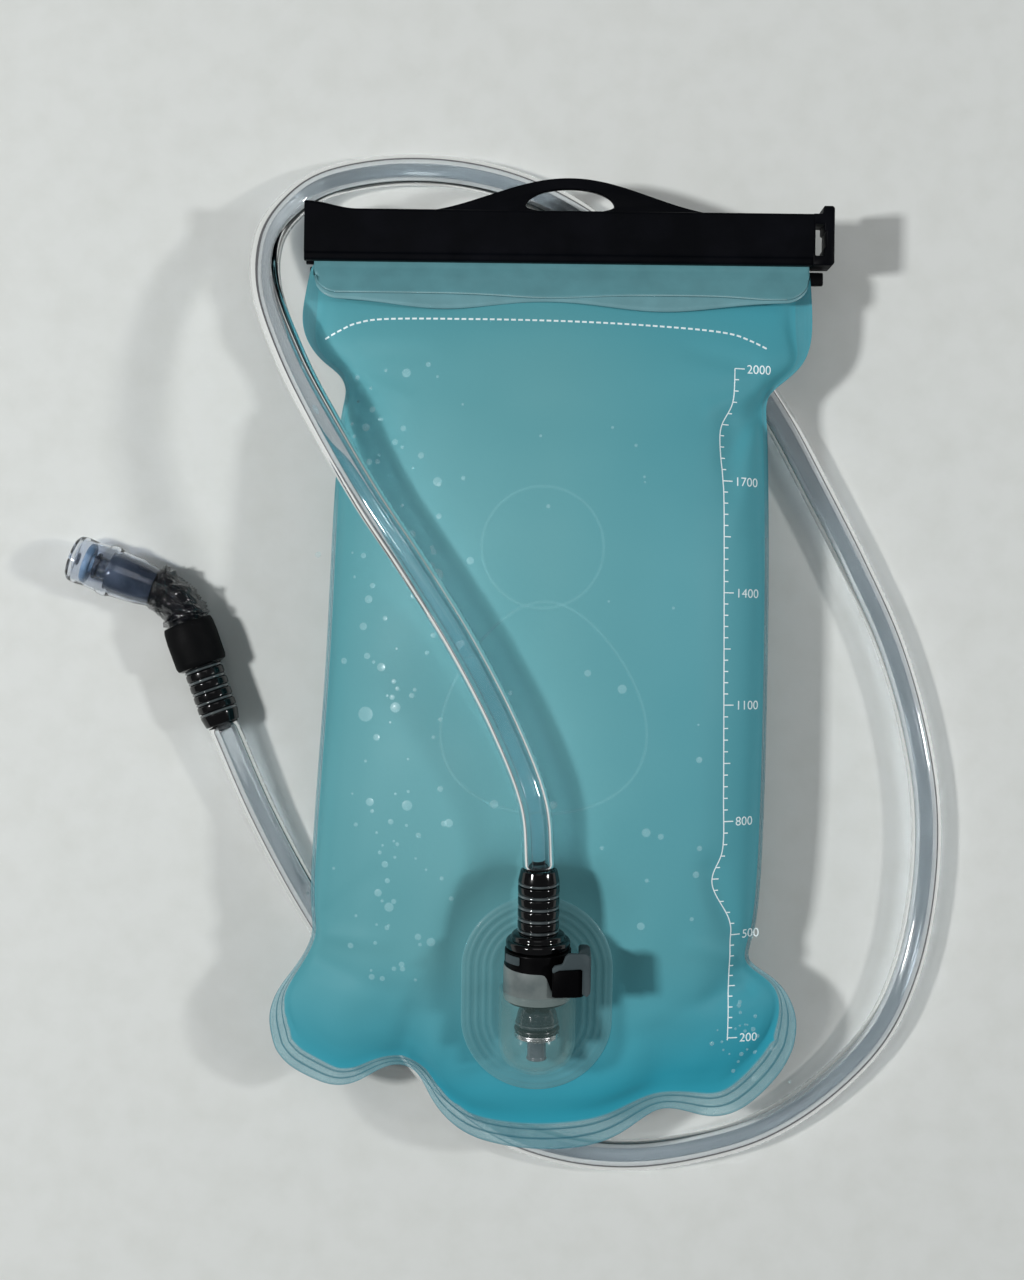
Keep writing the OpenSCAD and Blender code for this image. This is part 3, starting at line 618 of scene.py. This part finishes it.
def fold_sheet(name, radius, lip, material):
    """One layer of the rolled mouth, round the rod and down in front to its own lower edge, lip(x)."""
    more = radius - 2.8
    steps = 150
    points, faces = [], []
    for i in range(steps + 1):
        x = MOUTH_X + MOUTH_L * i / steps
        end = min(i, steps - i) * MOUTH_L / steps
        corner = 8 - math.sqrt(max(0, 64 - max(0, 8 - end) ** 2))
        run = [(128.5, 21.65 - more)]
        run += oval((137.5, 23), (radius, radius), np.linspace(-1.73, 1.73, 15))
        run += [(128.5, 24.35 + more), (126, 25.3 + more)]
        run += [(y, 26.3 + more + (124 - y) * 0.385) for y in np.linspace(124, lip(x) + corner, 8)]
        for y, z in run:
            ripple = 0.35 * math.sin(x / 11) * max(0, 126 - y) / 8
            points.append((x * MM, y * MM, (z + ripple) * MM))
    n = len(points) // (steps + 1)
    for i in range(steps):
        for k in range(n - 1):
            faces.append([i * n + k, (i + 1) * n + k, (i + 1) * n + k + 1, i * n + k + 1])
    made = put(name, points, faces, material)
    thick = made.modifiers.new("thick", "SOLIDIFY")
    thick.thickness = 0.3 * MM
    thick.offset = 0
    apply_modifiers(made)
    return made


def bumps(x, *places):
    """The height at x of a row of soft bumps, each a (place, width, height)."""
    return sum(height * math.exp(-(((x - at) / wide) ** 2)) for at, wide, height in places)


def inner_lip(x):
    """The lower edge of the mouth's inner layer."""
    return 116.4 - bumps(x, (-36, 22, 3.4), (34, 24, 3.6))


def outer_lip(x):
    """The lower edge of the mouth's outer layer."""
    return LIP_Y - bumps(x, (-2, 18, 1.2), (70, 12, 1.0))


def make_mouth(paint):
    """Both layers of the folded mouth, with a pale bead along the outer one's edge."""
    inner = fold_sheet("flap_inner", 2.8, inner_lip, paint["flap_lip"])
    stand_for(inner, "root", "mouth_film", "front_mouth_fold")
    outer = fold_sheet("flap_outer", 3.3, outer_lip, paint["flap"])
    stand_for(outer, "root", "mouth_film", "back_mouth_fold")
    edge = [(x * MM, (outer_lip(x) + 0.2) * MM, 29.7 * MM) for x in range(-70, 75, 2)]
    stand_for(sweep("flap_bead", edge, 0.22 * MM, paint["bubble"], 8), "root", "mouth_film")


# ---------- hard parts ----------
# Turns a shape drawn in local XY so that it lies in local XZ, raised along -Y
STAND = Matrix(((1, 0, 0, 0), (0, 0, -1, 0), (0, 1, 0, 0), (0, 0, 0, 1)))


def refined(node, body, slot, material, width):
    """The CAD node's shape with its edges rounded by width, in millimetres."""
    sheet = bmesh.new()
    sheet.from_mesh(nodes[node].data)
    bmesh.ops.remove_doubles(sheet, verts=sheet.verts, dist=1e-6)
    bmesh.ops.dissolve_limit(sheet, angle_limit=math.radians(1), verts=sheet.verts, edges=sheet.edges)
    made = put_sheet(node + "_look", sheet, material)
    round_edges(made, width, 2, 35)
    return stand_for(made, body, slot, node)


def plate(name, outline, holes, low, high, place, material, width, segments=3):
    """A plate with holes, drawn in local XY and raised from low to high, its edges rounded. Millimetres."""
    sheet = bmesh.new()
    for loop in [outline] + holes:
        ring = [sheet.verts.new((x * MM, y * MM, low * MM)) for x, y in loop]
        for a, b in zip(ring, ring[1:] + ring[:1]):
            sheet.edges.new((a, b))
    bmesh.ops.triangle_fill(sheet, use_beauty=True, edges=sheet.edges)
    bmesh.ops.dissolve_limit(sheet, angle_limit=0.02, verts=sheet.verts, edges=sheet.edges)
    raised = bmesh.ops.extrude_face_region(sheet, geom=list(sheet.faces))
    up = [v for v in raised["geom"] if isinstance(v, bmesh.types.BMVert)]
    bmesh.ops.translate(sheet, verts=up, vec=(0, 0, (high - low) * MM))
    bmesh.ops.recalc_face_normals(sheet, faces=sheet.faces)
    made = put_sheet(name, sheet, material)
    made.data.transform(place)
    round_edges(made, width, segments, 40)
    return made


def join(pieces):
    """Joins the pieces into the first."""
    mesh = bmesh.new()
    for piece in pieces:
        mesh.from_mesh(piece.data)
    mesh.to_mesh(pieces[0].data)
    mesh.free()
    for piece in pieces[1:]:
        bpy.data.objects.remove(piece)
    pieces[0].data.set_sharp_from_angle(angle=SHARP)
    return pieces[0]


def make_slide(paint):
    """The closure: a C-shaped channel with a lip, a flared end, an end frame and the arched handle."""
    section = eased_profile([
        (128.5, 25.4), (128.5, 28.3), (130.6, 28.3), (131.0, 28.95), (145, 28.95), (145, 17.05),
        (128.5, 17.05), (128.5, 20.6), (130.5, 20.6), (130.5, 19.1), (142.9, 19.1), (142.9, 26.9),
        (130.5, 26.9), (130.5, 25.4)], 1.1)
    stations = list(np.concatenate([np.linspace(-80, -62, 19), np.linspace(-58, 80, 36), [82.5]]))
    n = len(section)
    points = []
    for x in stations:
        flare = 2.5 * math.cos(math.pi / 2 * (x + 80) / 17) ** 2 if x < -63 else 0
        for y, z in section:
            points.append((x * MM, (y + flare * max(0, (y - 132) / 13)) * MM, z * MM))
    faces = skin(len(stations), n)
    faces += [list(range(n))[::-1], [(len(stations) - 1) * n + k for k in range(n)]]
    channel = put("slide_look", points, faces, paint["slide"])
    base = Matrix.Identity(4)
    handle_x = 4.7
    reach = 55
    arch = []
    for x in np.linspace(-54.9, 54.9, 67):
        arch.append((x + handle_x, 144.6 + 11.6 * math.cos(math.pi / 2 * x / reach) ** 2.2))
    outline = [(-50.2, 143.6)] + arch + [(59.6, 143.6)]
    hole = []
    for t in np.linspace(-math.pi, math.pi, 49)[:-1]:
        hole.append((handle_x + 14.2 * math.cos(t), 147.2 + (5.6 if t > 0 else 2.2) * math.sin(t)))
    handle = plate("handle", outline, [hole], 21.5, 24.5, base, paint["slide"], 0.7)
    outline = [(82.3, 128.5), (88.2, 128.5), (89, 129.3), (89, 146.9), (88.4, 147.5), (85.6, 147.5),
               (85.2, 145), (82.3, 145)]
    window = [(82.9, 131.6), (85.8, 131.6), (85.8, 134.2), (86.4, 134.2), (86.4, 139.4), (85.8, 139.4),
              (85.8, 141.8), (82.9, 141.8)]
    end = plate("end_frame", outline, [window], 17.05, 28.95, base, paint["slide"], 0.4, 2)
    stand_for(join([channel, handle, end]), "slide", "slide_black", "slide_closure")


def arc_bar(name, start, stop, inner, outer, y0, y1, place, material, width):
    """A bar bent round the local Y axis between two angles in degrees, 90 being up."""
    turns = np.radians(np.linspace(start, stop, 14))
    loop = oval((0, 0), (inner, inner), turns) + oval((0, 0), (outer, outer), turns[::-1])
    return plate(name, loop, [], -y1, -y0, place @ STAND, material, width)


def ribs(start, stop, count, radius, gap):
    """Profile of a ribbed stem whose last rib tapers, and the places of the grooves between its ribs."""
    pitch = (stop - start) / (count + 1.25)
    out = []
    for i in range(count):
        y = start + i * pitch
        out += [(radius - gap, y), (radius - gap, y + pitch * 0.2)]
        out += [(radius, y + pitch * 0.32), (radius, y + pitch * 0.9)]
    y = start + count * pitch - pitch * 0.1
    out += [(radius - gap, y), (radius - gap, y + 0.2 * pitch)]
    out += [(radius, y + 0.35 * pitch), (radius - 0.8, stop)]
    return out, [start + i * pitch + pitch * 0.1 for i in range(count + 1)]


def port_flange(paint):
    """The welded flange: a long round disc with fine ridges, a little raised at its plateau."""
    rings = [(24, -0.25), (23.6, 0.15), (22.6, 0.25)]
    for r in (21.4, 19.0, 16.6, 14.4):
        rings += [(r + 0.5, 0.3), (r, 0.75), (r - 0.5, 0.35)]
    rings += [(12.4, 0.5), (11.6, 0.3), (6, 0.35), (0.5, 0.35)]
    sides = 96
    points = []
    for r, z in rings:
        for k in range(sides):
            t = 2 * math.pi * k / sides
            run = 8 if math.cos(t) > 0 else -8
            place = Vector((r * math.sin(t), run - 19.5 + r * math.cos(t), z - 13.35))
            points.append(PORT @ (place * MM))
    faces = skin(len(rings), sides, turned=True)
    faces.append([(len(rings) - 1) * sides + k for k in range(sides)])
    made = put("flange_look", points, faces, paint["weld"])
    stand_for(made, "root", "port_clear", "port_flange")


def scooped_shell(paint):
    """The housing's frosted sleeve, its upper edge scooped down towards the button."""
    sides = 96
    rows = 8
    points = []
    for j in range(rows + 1):
        for k in range(sides):
            t = 2 * math.pi * k / sides
            x = math.sin(t)
            scoop = 1 / (1 + math.exp(-(x * 10.5 - 3.4) / 0.55)) if math.cos(t) > 0 else 0.0
            top = -4.9 - 0.6 * math.cos(t) - 6.6 * scoop
            y = -15.9 + (top + 15.9) * j / rows
            r = 10.62 if 0 < j < rows else 10.45
            points.append(PORT @ (Vector((r * x, y, r * math.cos(t))) * MM))
    made = put("housing_sleeve", points, skin(rows + 1, sides), paint["frost"])
    stand_for(made, "root", "housing_frost")


def make_port(paint):
    """The welded flange, the clear socket with the valve inside, and the hose coupling in its housing."""
    port_flange(paint)
    shell = eased_profile([
        (0.4, -40), (6.5, -39.4), (10.6, -36), (12, -31), (12, -13), (11.1, -13), (11.1, -30.8),
        (9.9, -35.2), (6.1, -38.4), (0.4, -38.9)], 1.0)
    socket = lathe("socket_look", shell, PORT, paint["port"], 80, True)
    stand_for(socket, "root", "port_clear", "port_socket")
    housing = eased_profile([
        (7.3, -16.9), (9.5, -16.9), (9.7, -16.2), (10.3, -15.6), (10.3, -0.1), (7.3, -0.1)], 0.5)
    housing = lathe("housing_look", housing, PORT, paint["satin"], 80, True)
    stand_for(housing, "root", "housing_frost", "latch_housing")
    scooped_shell(paint)
    stem, grooves = ribs(5.4, 25, 4, 6.45, 0.75)
    flanges = [(3, 0.2), (9.6, 0.2), (10, 0.6), (10, 2.3), (9.5, 3.0), (8.3, 3.1), (8.3, 4.3), (7.7, 4.9),
               (6.9, 5.1)]
    coupling = eased_profile(flanges + stem + [(4.6, 25)], 0.35)
    coupling = lathe("coupling_look", coupling, PORT, paint["black"], 80)
    stand_for(coupling, "root", "coupling_black", "coupling_body")
    # Painted highlight: grey bands in the grooves, where the clear hose shines over the black ribs
    for i, y in enumerate(grooves):
        ring = band(f"port_ring_{i}", 5.8, y, (0.66, 0.5), PORT, paint["rings"])
        stand_for(ring, "root", "tube_clear")
    make_valve(paint)


def make_valve(paint):
    """The valve seen through the socket: its domed cage, seat ring and poppet."""
    dome = [(1.7, -17.3), (3.2, -17.6), (4.9, -18.7), (6.0, -20.6), (6.45, -22.8), (6.5, -25), (5.9, -25),
            (5.8, -22.8), (5.3, -21), (4.3, -19.4), (2.9, -18.4), (1.7, -18)]
    dome = eased_profile(dome + [dome[0]], 0.3)[:-1]
    dome = lathe("dome_look", dome, PORT, paint["dome"], 64, True)
    stand_for(dome, "root", "valve_clear", "valve_cage")
    # Black plates fill the cage's two windows: painted shade of the inside seen through them
    for i, side in enumerate((-1, 1)):
        window = oval((side * 2.2, -18.9), (1.612, 0.85), np.linspace(0, 6.1, 18))
        dark = plate(f"dome_window_shade_{i}", window, [], 4.6, 5.1, PORT, paint["seal"], 0.1, 1)
        stand_for(dark, "root", "valve_grey")
    # A grey band at the dome's foot: painted highlight along its lower edge
    ring = band("dome_ring", 6.5, -24, (0.35, 0.28), PORT, paint["rings"])
    stand_for(ring, "root", "valve_clear")
    seat = eased_profile([
        (3.6, -28.8), (5.6, -29.2), (6.9, -28.6), (7.05, -28.1), (6.8, -27.8), (7.05, -27.5), (6.8, -27.0),
        (3.6, -27.0)], 0.2)
    seat = lathe("seat_look", seat, PORT, paint["silver"], 64)
    stand_for(seat, "root", "valve_grey", "valve_seat_ring")
    poppet = eased_profile([
        (1.2, -17.6), (1.3, -20), (4.2, -20.3), (4.3, -21.4), (1.3, -21.8), (1.3, -29.3), (2.6, -29.5),
        (2.9, -30), (2.9, -35.2), (3.2, -35.6), (3.2, -36.1), (0.3, -36.3)], 0.3)
    poppet = lathe("poppet_look", poppet, PORT, paint["valve"], 48)
    stand_for(poppet, "poppet", "valve_grey", "valve_poppet")


def make_button(paint):
    """Grey L-shaped button with its black thumb lug and the far end of its latch plate."""
    grip = [(4.4, -4.4), (4.2, -3), (5, -2), (7.4, -1.4), (8.2, 1), (9.2, 2), (14.6, 2), (15.8, 0.9),
            (16, -10.6), (15, -11.8), (14, -11.2), (13.8, -3.6), (13, -2.9), (6.4, -3.4)]
    grip = plate("button_look", grip, [], 11.2, 12.9, PORT, paint["grey"], 0.6)
    column = [(12.7, -6), (15.6, -6), (16.3, -4.5), (16.4, 2), (16.2, 9), (15.4, 11.4), (13.6, 11.4),
              (12.9, 9)]
    column = plate("button_column", column, [], 0.6, 11.8, PORT @ STAND, paint["grey"], 0.8)
    end = arc_bar("latch_end", 155, 122, 10.4, 11.2, -3.2, -0.5, PORT, paint["grey"], 0.7)
    stand_for(join([grip, column, end]), "button", "button_grey", "release_button")
    lug = oval((1.8, 0), (10.9, 10.9), np.radians(np.linspace(14, 76, 12)))
    lug += [(4.2, 11.3), (5.2, 11.9), (8, 12), (11.4, 11.8), (13.4, 11.2), (14.6, 9), (14.8, 4),
            (14.4, 2.4)]
    lug = plate("thumb_lug", lug, [], 3.5, 12.3, PORT @ STAND, paint["satin"], 0.9)
    stand_for(lug, "button", "button_grey")


def make_springs(paint):
    """The two springs, each a copy of its CAD node's shape in spring steel."""
    up_port = PORT.to_3x3() @ Vector((0, 1, 0))
    for node, joint, travel, axis in (("button_spring", "button_press", 1.8, Vector((1, 0, 0))),
                                      ("valve_spring", "poppet_lift", 1.5, up_port)):
        mesh = nodes[node].data
        points = [v.co.copy() for v in mesh.vertices]
        spring = put(node + "_look", points, [tuple(f.vertices) for f in mesh.polygons], paint["steel"])
        stand_for(spring, "root", "spring_steel", node)
        points.sort(key=axis.dot)
        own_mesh(spring)


# ---------- bite valve ----------
BITE = Matrix.Translation(Vector((-106.5, -20.5, 8.6)) * MM) @ Matrix.Rotation(math.radians(20.2), 4, "Z")
MOUTH = BITE @ Matrix.Translation((0, 44.2 * MM, 0)) @ Matrix.Rotation(math.radians(50), 4, "Z")


def make_fitting(paint):
    """The barbed fitting in the hose's end, glossy on its stem and matte on its collar."""
    stem, grooves = ribs(-19.4, 0, 4, 6.4, 0.75)
    stem = [(4.6, 0)] + [(r, -y) for r, y in stem][::-1]
    collar = [(6.9, 19.8), (8.0, 20.4), (8.4, 21.6), (8.5, 30), (8.3, 33.6), (7.9, 35), (6.2, 35)]
    made = lathe("fitting_look", eased_profile(stem + collar, 0.35), BITE, paint["black"], 80)
    made.data.materials.append(paint["matte"])
    for face in made.data.polygons:
        face.material_index = int((BITE.inverted() @ face.center).y > 20.2 * MM)
    stand_for(made, "root", "coupling_black", "bite_fitting")
    # Painted highlight: grey bands in the grooves, where the clear hose shines over the black ribs
    for i, y in enumerate(grooves):
        ring = band(f"bite_ring_{i}", 5.76, -y, (0.66, 0.5), BITE, paint["rings"])
        stand_for(ring, "root", "tube_clear")
    return made


def make_elbow(paint):
    """The bent elbow and the sheath's wrinkled skin round it."""
    bend = [BITE @ Vector((0, y * MM, 0)) for y in (33, 36.5, 39.5)]
    bend += [MOUTH @ Vector((0, y * MM, 0)) for y in (4, 6.5, 8.4)]
    elbow = sweep("elbow_look", smooth_run(bend, 10), 5.8 * MM, paint["black"], 40)
    stand_for(elbow, "elbow", "coupling_black", "elbow")
    line, _, a, b = frames_along(smooth_run(bend, 26))
    points = []
    sides = 72
    for i in range(len(line)):
        along = i / (len(line) - 1)
        for k in range(sides):
            t = 2 * math.pi * k / sides
            fold = abs(math.sin(along * 17 + 1.3 * math.sin(t * 2 + 0.6) + 0.8 * math.cos(t * 3)))
            crumple = noise.noise(Vector((along * 11, math.cos(t) * 2.4, math.sin(t) * 2.4)))
            height = (1 - fold) ** 3 * 1.5 + 1.5 * abs(crumple)
            r = (6.1 + height * min(1, along * 6, (1 - along) * 6 + 0.15)) * MM
            points.append(line[i] + r * (math.cos(t) * a[i] + math.sin(t) * b[i]))
    folds = put("sheath_folds", points, skin(len(line), sides), paint["folds"])
    stand_for(folds, "elbow", "sheath_silicone")
    return elbow


def make_mouthpiece(paint):
    """The shut-off core, the clear sheath over it and the disc near its tip."""
    core = eased_profile([
        (0.3, 7.4), (5.6, 7.4), (6.2, 10), (6.65, 15), (6.8, 22.8), (6.5, 23.8), (3.6, 24.2), (3.4, 27.2),
        (4.4, 27.5), (4.4, 28.6), (3.0, 29), (0.3, 29)], 0.4)
    core = lathe("core_look", core, MOUTH, paint["core"], 64)
    stand_for(core, "mouthpiece", "core_smoke", "shutoff_core")
    sheath = eased_profile([
        (6.5, 8.4), (7.3, 13), (7.9, 21.5), (8.5, 22.6), (8.5, 25.0), (7.9, 25.8), (7.6, 30), (7.9, 33.4),
        (7.5, 36), (6.2, 37), (1.0, 36.6), (1.0, 36.0), (5.8, 35.8), (6.9, 34.6), (7.1, 30), (7.2, 26),
        (7.5, 24), (7.2, 21), (6.9, 13)], 0.6)
    sheath = lathe("sheath_look", sheath, MOUTH, paint["sheath"], 80, True)
    stand_for(sheath, "mouthpiece", "sheath_silicone", "bite_sheath")
    disc = eased_profile([(3.2, 30), (6.3, 30), (6.8, 30.6), (6.8, 31.6), (6.3, 32.2), (3.2, 32.2)], 0.3)
    disc = lathe("disc_look", disc, MOUTH, paint["disc"], 64, True)
    stand_for(disc, "mouthpiece", "core_smoke", "tip_disc")
    return [core, sheath, disc]


def make_bite_valve(paint):
    """The whole bite valve, as the list of the pieces that are on the hose."""
    return [make_fitting(paint), make_elbow(paint)] + make_mouthpiece(paint) + [nodes["elbow_oring"]]


# ---------- marks on the front film ----------
def without_shadow(piece):
    """Keeps the piece from casting a shadow."""
    piece.visible_shadow = False
    return piece


class Decals:
    """Lays thin shapes on the front film."""

    def __init__(self, film):
        """film is the piece that the marks lie on."""
        mesh = film.data
        faces = [p.vertices for p in mesh.polygons]
        self.tree = BVHTree.FromPolygons([v.co for v in mesh.vertices], faces)

    def on(self, x, y, lift=0.12):
        """The point at x, y, lift above the film, or above the seam where the film isn't."""
        hit = self.tree.ray_cast(Vector((x * MM, y * MM, 0.2)), Vector((0, 0, -1)))[0]
        height = hit.z if hit else 0.022
        return Vector((x * MM, y * MM, height + lift * MM))

    def strokes(self, name, runs, width, material, slot, lift=0.12):
        """Flat strokes along runs of x, y points, all in one mesh."""
        points, faces = [], []
        for run in runs:
            run = [np.array(p, float) for p in run]
            for i, p in enumerate(run):
                way = run[min(i + 1, len(run) - 1)] - run[max(i - 1, 0)]
                way = np.array([-way[1], way[0]]) / (np.linalg.norm(way) + 1e-9) * width / 2
                points += [self.on(*(p + way), lift), self.on(*(p - way), lift)]
                if i:
                    n = len(points)
                    faces.append([n - 4, n - 3, n - 1, n - 2])
        stand_for(without_shadow(put(name, points, faces, material)), "root", slot)

    def numerals(self, name, words, material, slot):
        """Plain figures, each with its place and height, cut fine enough to follow the film."""
        mesh = bmesh.new()
        for text, x, y, size in words:
            curve = bpy.data.curves.new(name, "FONT")
            curve.body = text
            curve.size = size
            curve.align_y = "CENTER"
            letter = bpy.data.objects.new(name, curve)
            bpy.context.scene.collection.objects.link(letter)
            graph = bpy.context.evaluated_depsgraph_get()
            shape = bpy.data.meshes.new_from_object(letter.evaluated_get(graph))
            shape.transform(Matrix.Translation((x, y, 0)))
            mesh.from_mesh(shape)
            bpy.data.objects.remove(letter)
        long_edges = [e for e in mesh.edges if e.calc_length() > 3]
        bmesh.ops.subdivide_edges(mesh, edges=long_edges, cuts=2)
        for v in mesh.verts:
            v.co = self.on(v.co.x, v.co.y)
        stand_for(without_shadow(put_sheet(name, mesh, material)), "root", slot)


FILL_LINE = [(-73.2, 103.6), (-68, 106.4), (-62.6, 108.6), (-52, 109.8), (-15.6, 109.6), (13.4, 109),
             (42, 107.6), (56, 106.2), (63, 104), (70.5, 100.6)]
SPINE = [(57.5, 95), (56.8, 84), (52.8, 74.6), (53.6, 60), (54, 52.7), (54.4, 20), (54.7, -10), (55, -40),
         (55, -57), (51.8, -68), (58, -80.4), (58.2, -90), (58, -119)]
# Heights of the scale's numbered lines, the fullest first
LEVELS = [95, 59, 23.7, -11.7, -48.4, -84.9, -118]
TOP_LEVEL = 2000
LEVEL_STEP = 300


def along_run(points, step):
    """Points a step apart along a smooth curve in the plane."""
    fine = np.array(smooth_run([(x, y, 0) for x, y in points], 20))
    gone = np.concatenate([[0], np.cumsum(np.linalg.norm(np.diff(fine, axis=0), axis=1))])
    places = np.arange(0, gone[-1], step)
    return list(zip(np.interp(places, gone, fine[:, 0]), np.interp(places, gone, fine[:, 1])))


def tick_length(k):
    """A long tick at each level, a middling one halfway and short ones between."""
    if k == 0:
        return 3.2
    return 2.2 if k == 5 else 1.4


def make_marks(paint, film):
    """The fill line, the scale with its plain numerals, the baffle's weld and the spots."""
    decals = Decals(film)
    dots = along_run(FILL_LINE, 0.75)
    dashes = [dots[i:i + 3] for i in range(0, len(dots) - 3, 3)]
    decals.strokes("fill_line", dashes, 0.6, paint["print"], "print_white")
    spine = along_run(SPINE, 1.0)
    xs = [p[0] for p in spine][::-1]
    ys = [p[1] for p in spine][::-1]
    runs = [spine, [(57.5, 95), (60.4, 95)]]
    for top, bottom in zip(LEVELS, LEVELS[1:]):
        for k in range(10):
            y = top + (bottom - top) * k / 10
            x = float(np.interp(y, ys, xs))
            runs.append([(x, y), (x + tick_length(k), y)])
    runs.append([(58, -118), (61.2, -118)])
    decals.strokes("scale", runs, 0.36, paint["print"], "print_white")
    words = []
    for i, y in enumerate(LEVELS):
        x = float(np.interp(y, ys, xs))
        words.append((str(TOP_LEVEL - LEVEL_STEP * i), x + 3.9, y - 0.2, 4.0))
    decals.numerals("scale_figures", words, paint["print"], "print_white")
    ring = [(-3 + 19 * math.sin(t), 37 + 19 * math.cos(t)) for t in np.linspace(0, 2 * math.pi, 60)]
    pear = []
    for t in np.linspace(0, 2 * math.pi, 90):
        pear.append((-2 + (31 - 9 * math.cos(t)) * math.sin(t), -13 + 33 * math.cos(t)))
    decals.strokes("baffle_weld", [ring, pear], 0.9, paint["trace"], "film_front", 0.08)
    make_spots(paint, decals)


def make_spots(paint, decals):
    """Bubbles inside the film and a few water drops, from a fixed seed."""
    dice = random.Random(7)
    for name, count, look in (("bubbles", 150, "bubble"), ("drops", 26, "drop")):
        points, faces = [], []
        for _ in range(count):
            if look == "drop":
                x, y, r = 62 + dice.gauss(0, 6), -118 + dice.gauss(0, 8), dice.uniform(0.3, 0.8)
            elif dice.random() < 0.7:
                x, y, r = -50 + dice.gauss(0, 11), dice.uniform(-100, 95), abs(dice.gauss(0, 0.6)) + 0.35
            else:
                x, y, r = dice.uniform(-60, 50), dice.uniform(-110, 95), abs(dice.gauss(0, 0.8)) + 0.3
            over_port = abs(x + 3) < 26 and -132 < y < -74
            if over_port:
                continue
            start = len(points)
            tall = 0.45 if look == "drop" else 0.05
            for share, lift in ((1, 0.05), (0.7, 0.05 + tall * r * 0.7), (0.3, 0.05 + tall * r)):
                for k in range(12):
                    t = math.pi * k / 6
                    points.append(decals.on(x + r * share * math.cos(t), y + r * share * math.sin(t), lift))
            faces += skin(3, 12, start)
            faces.append([start + 24 + k for k in range(12)])
        spots = without_shadow(put(name, points, faces, paint[look]))
        stand_for(spots, "root", "film_front")


# ---------- the whole ----------
make_camera()
make_light()
paint = make_materials()

make_tube(paint, make_bite_valve(paint))
front = film_sheet("front_film_look", "front_film", 1, paint["film"])
stand_for(front, "root", "film_front", "front_film")
# The back film wears the darker copy of the film colours, which is painted shade
back = film_sheet("back_film_look", "back_film", -1, paint["film_back"])
stand_for(back, "root", "film_back", "back_film")
make_mouth(paint)
make_slide(paint)
make_port(paint)
make_button(paint)
make_springs(paint)
make_marks(paint, front)
refined("back_rail", "root", "slide_black", paint["slide"], 0.4)
# The baffle web wears the back film's darker colours, which are painted shade
refined("baffle_web", "root", "film_web", paint["film_back"], 0.1)

floor = put("table", [(-3, -3, 0), (3, -3, 0), (3, 3, 0), (-3, 3, 0)], [(0, 1, 2, 3)], paint["floor"])

LEFT_AS_BUILT = {"fold_rod": "satin", "coupling_oring": "seal", "valve_oring": "seal", "elbow_oring": "seal"}
for node, look in LEFT_AS_BUILT.items():
    nodes[node].data.materials.clear()
    nodes[node].data.materials.append(paint[look])
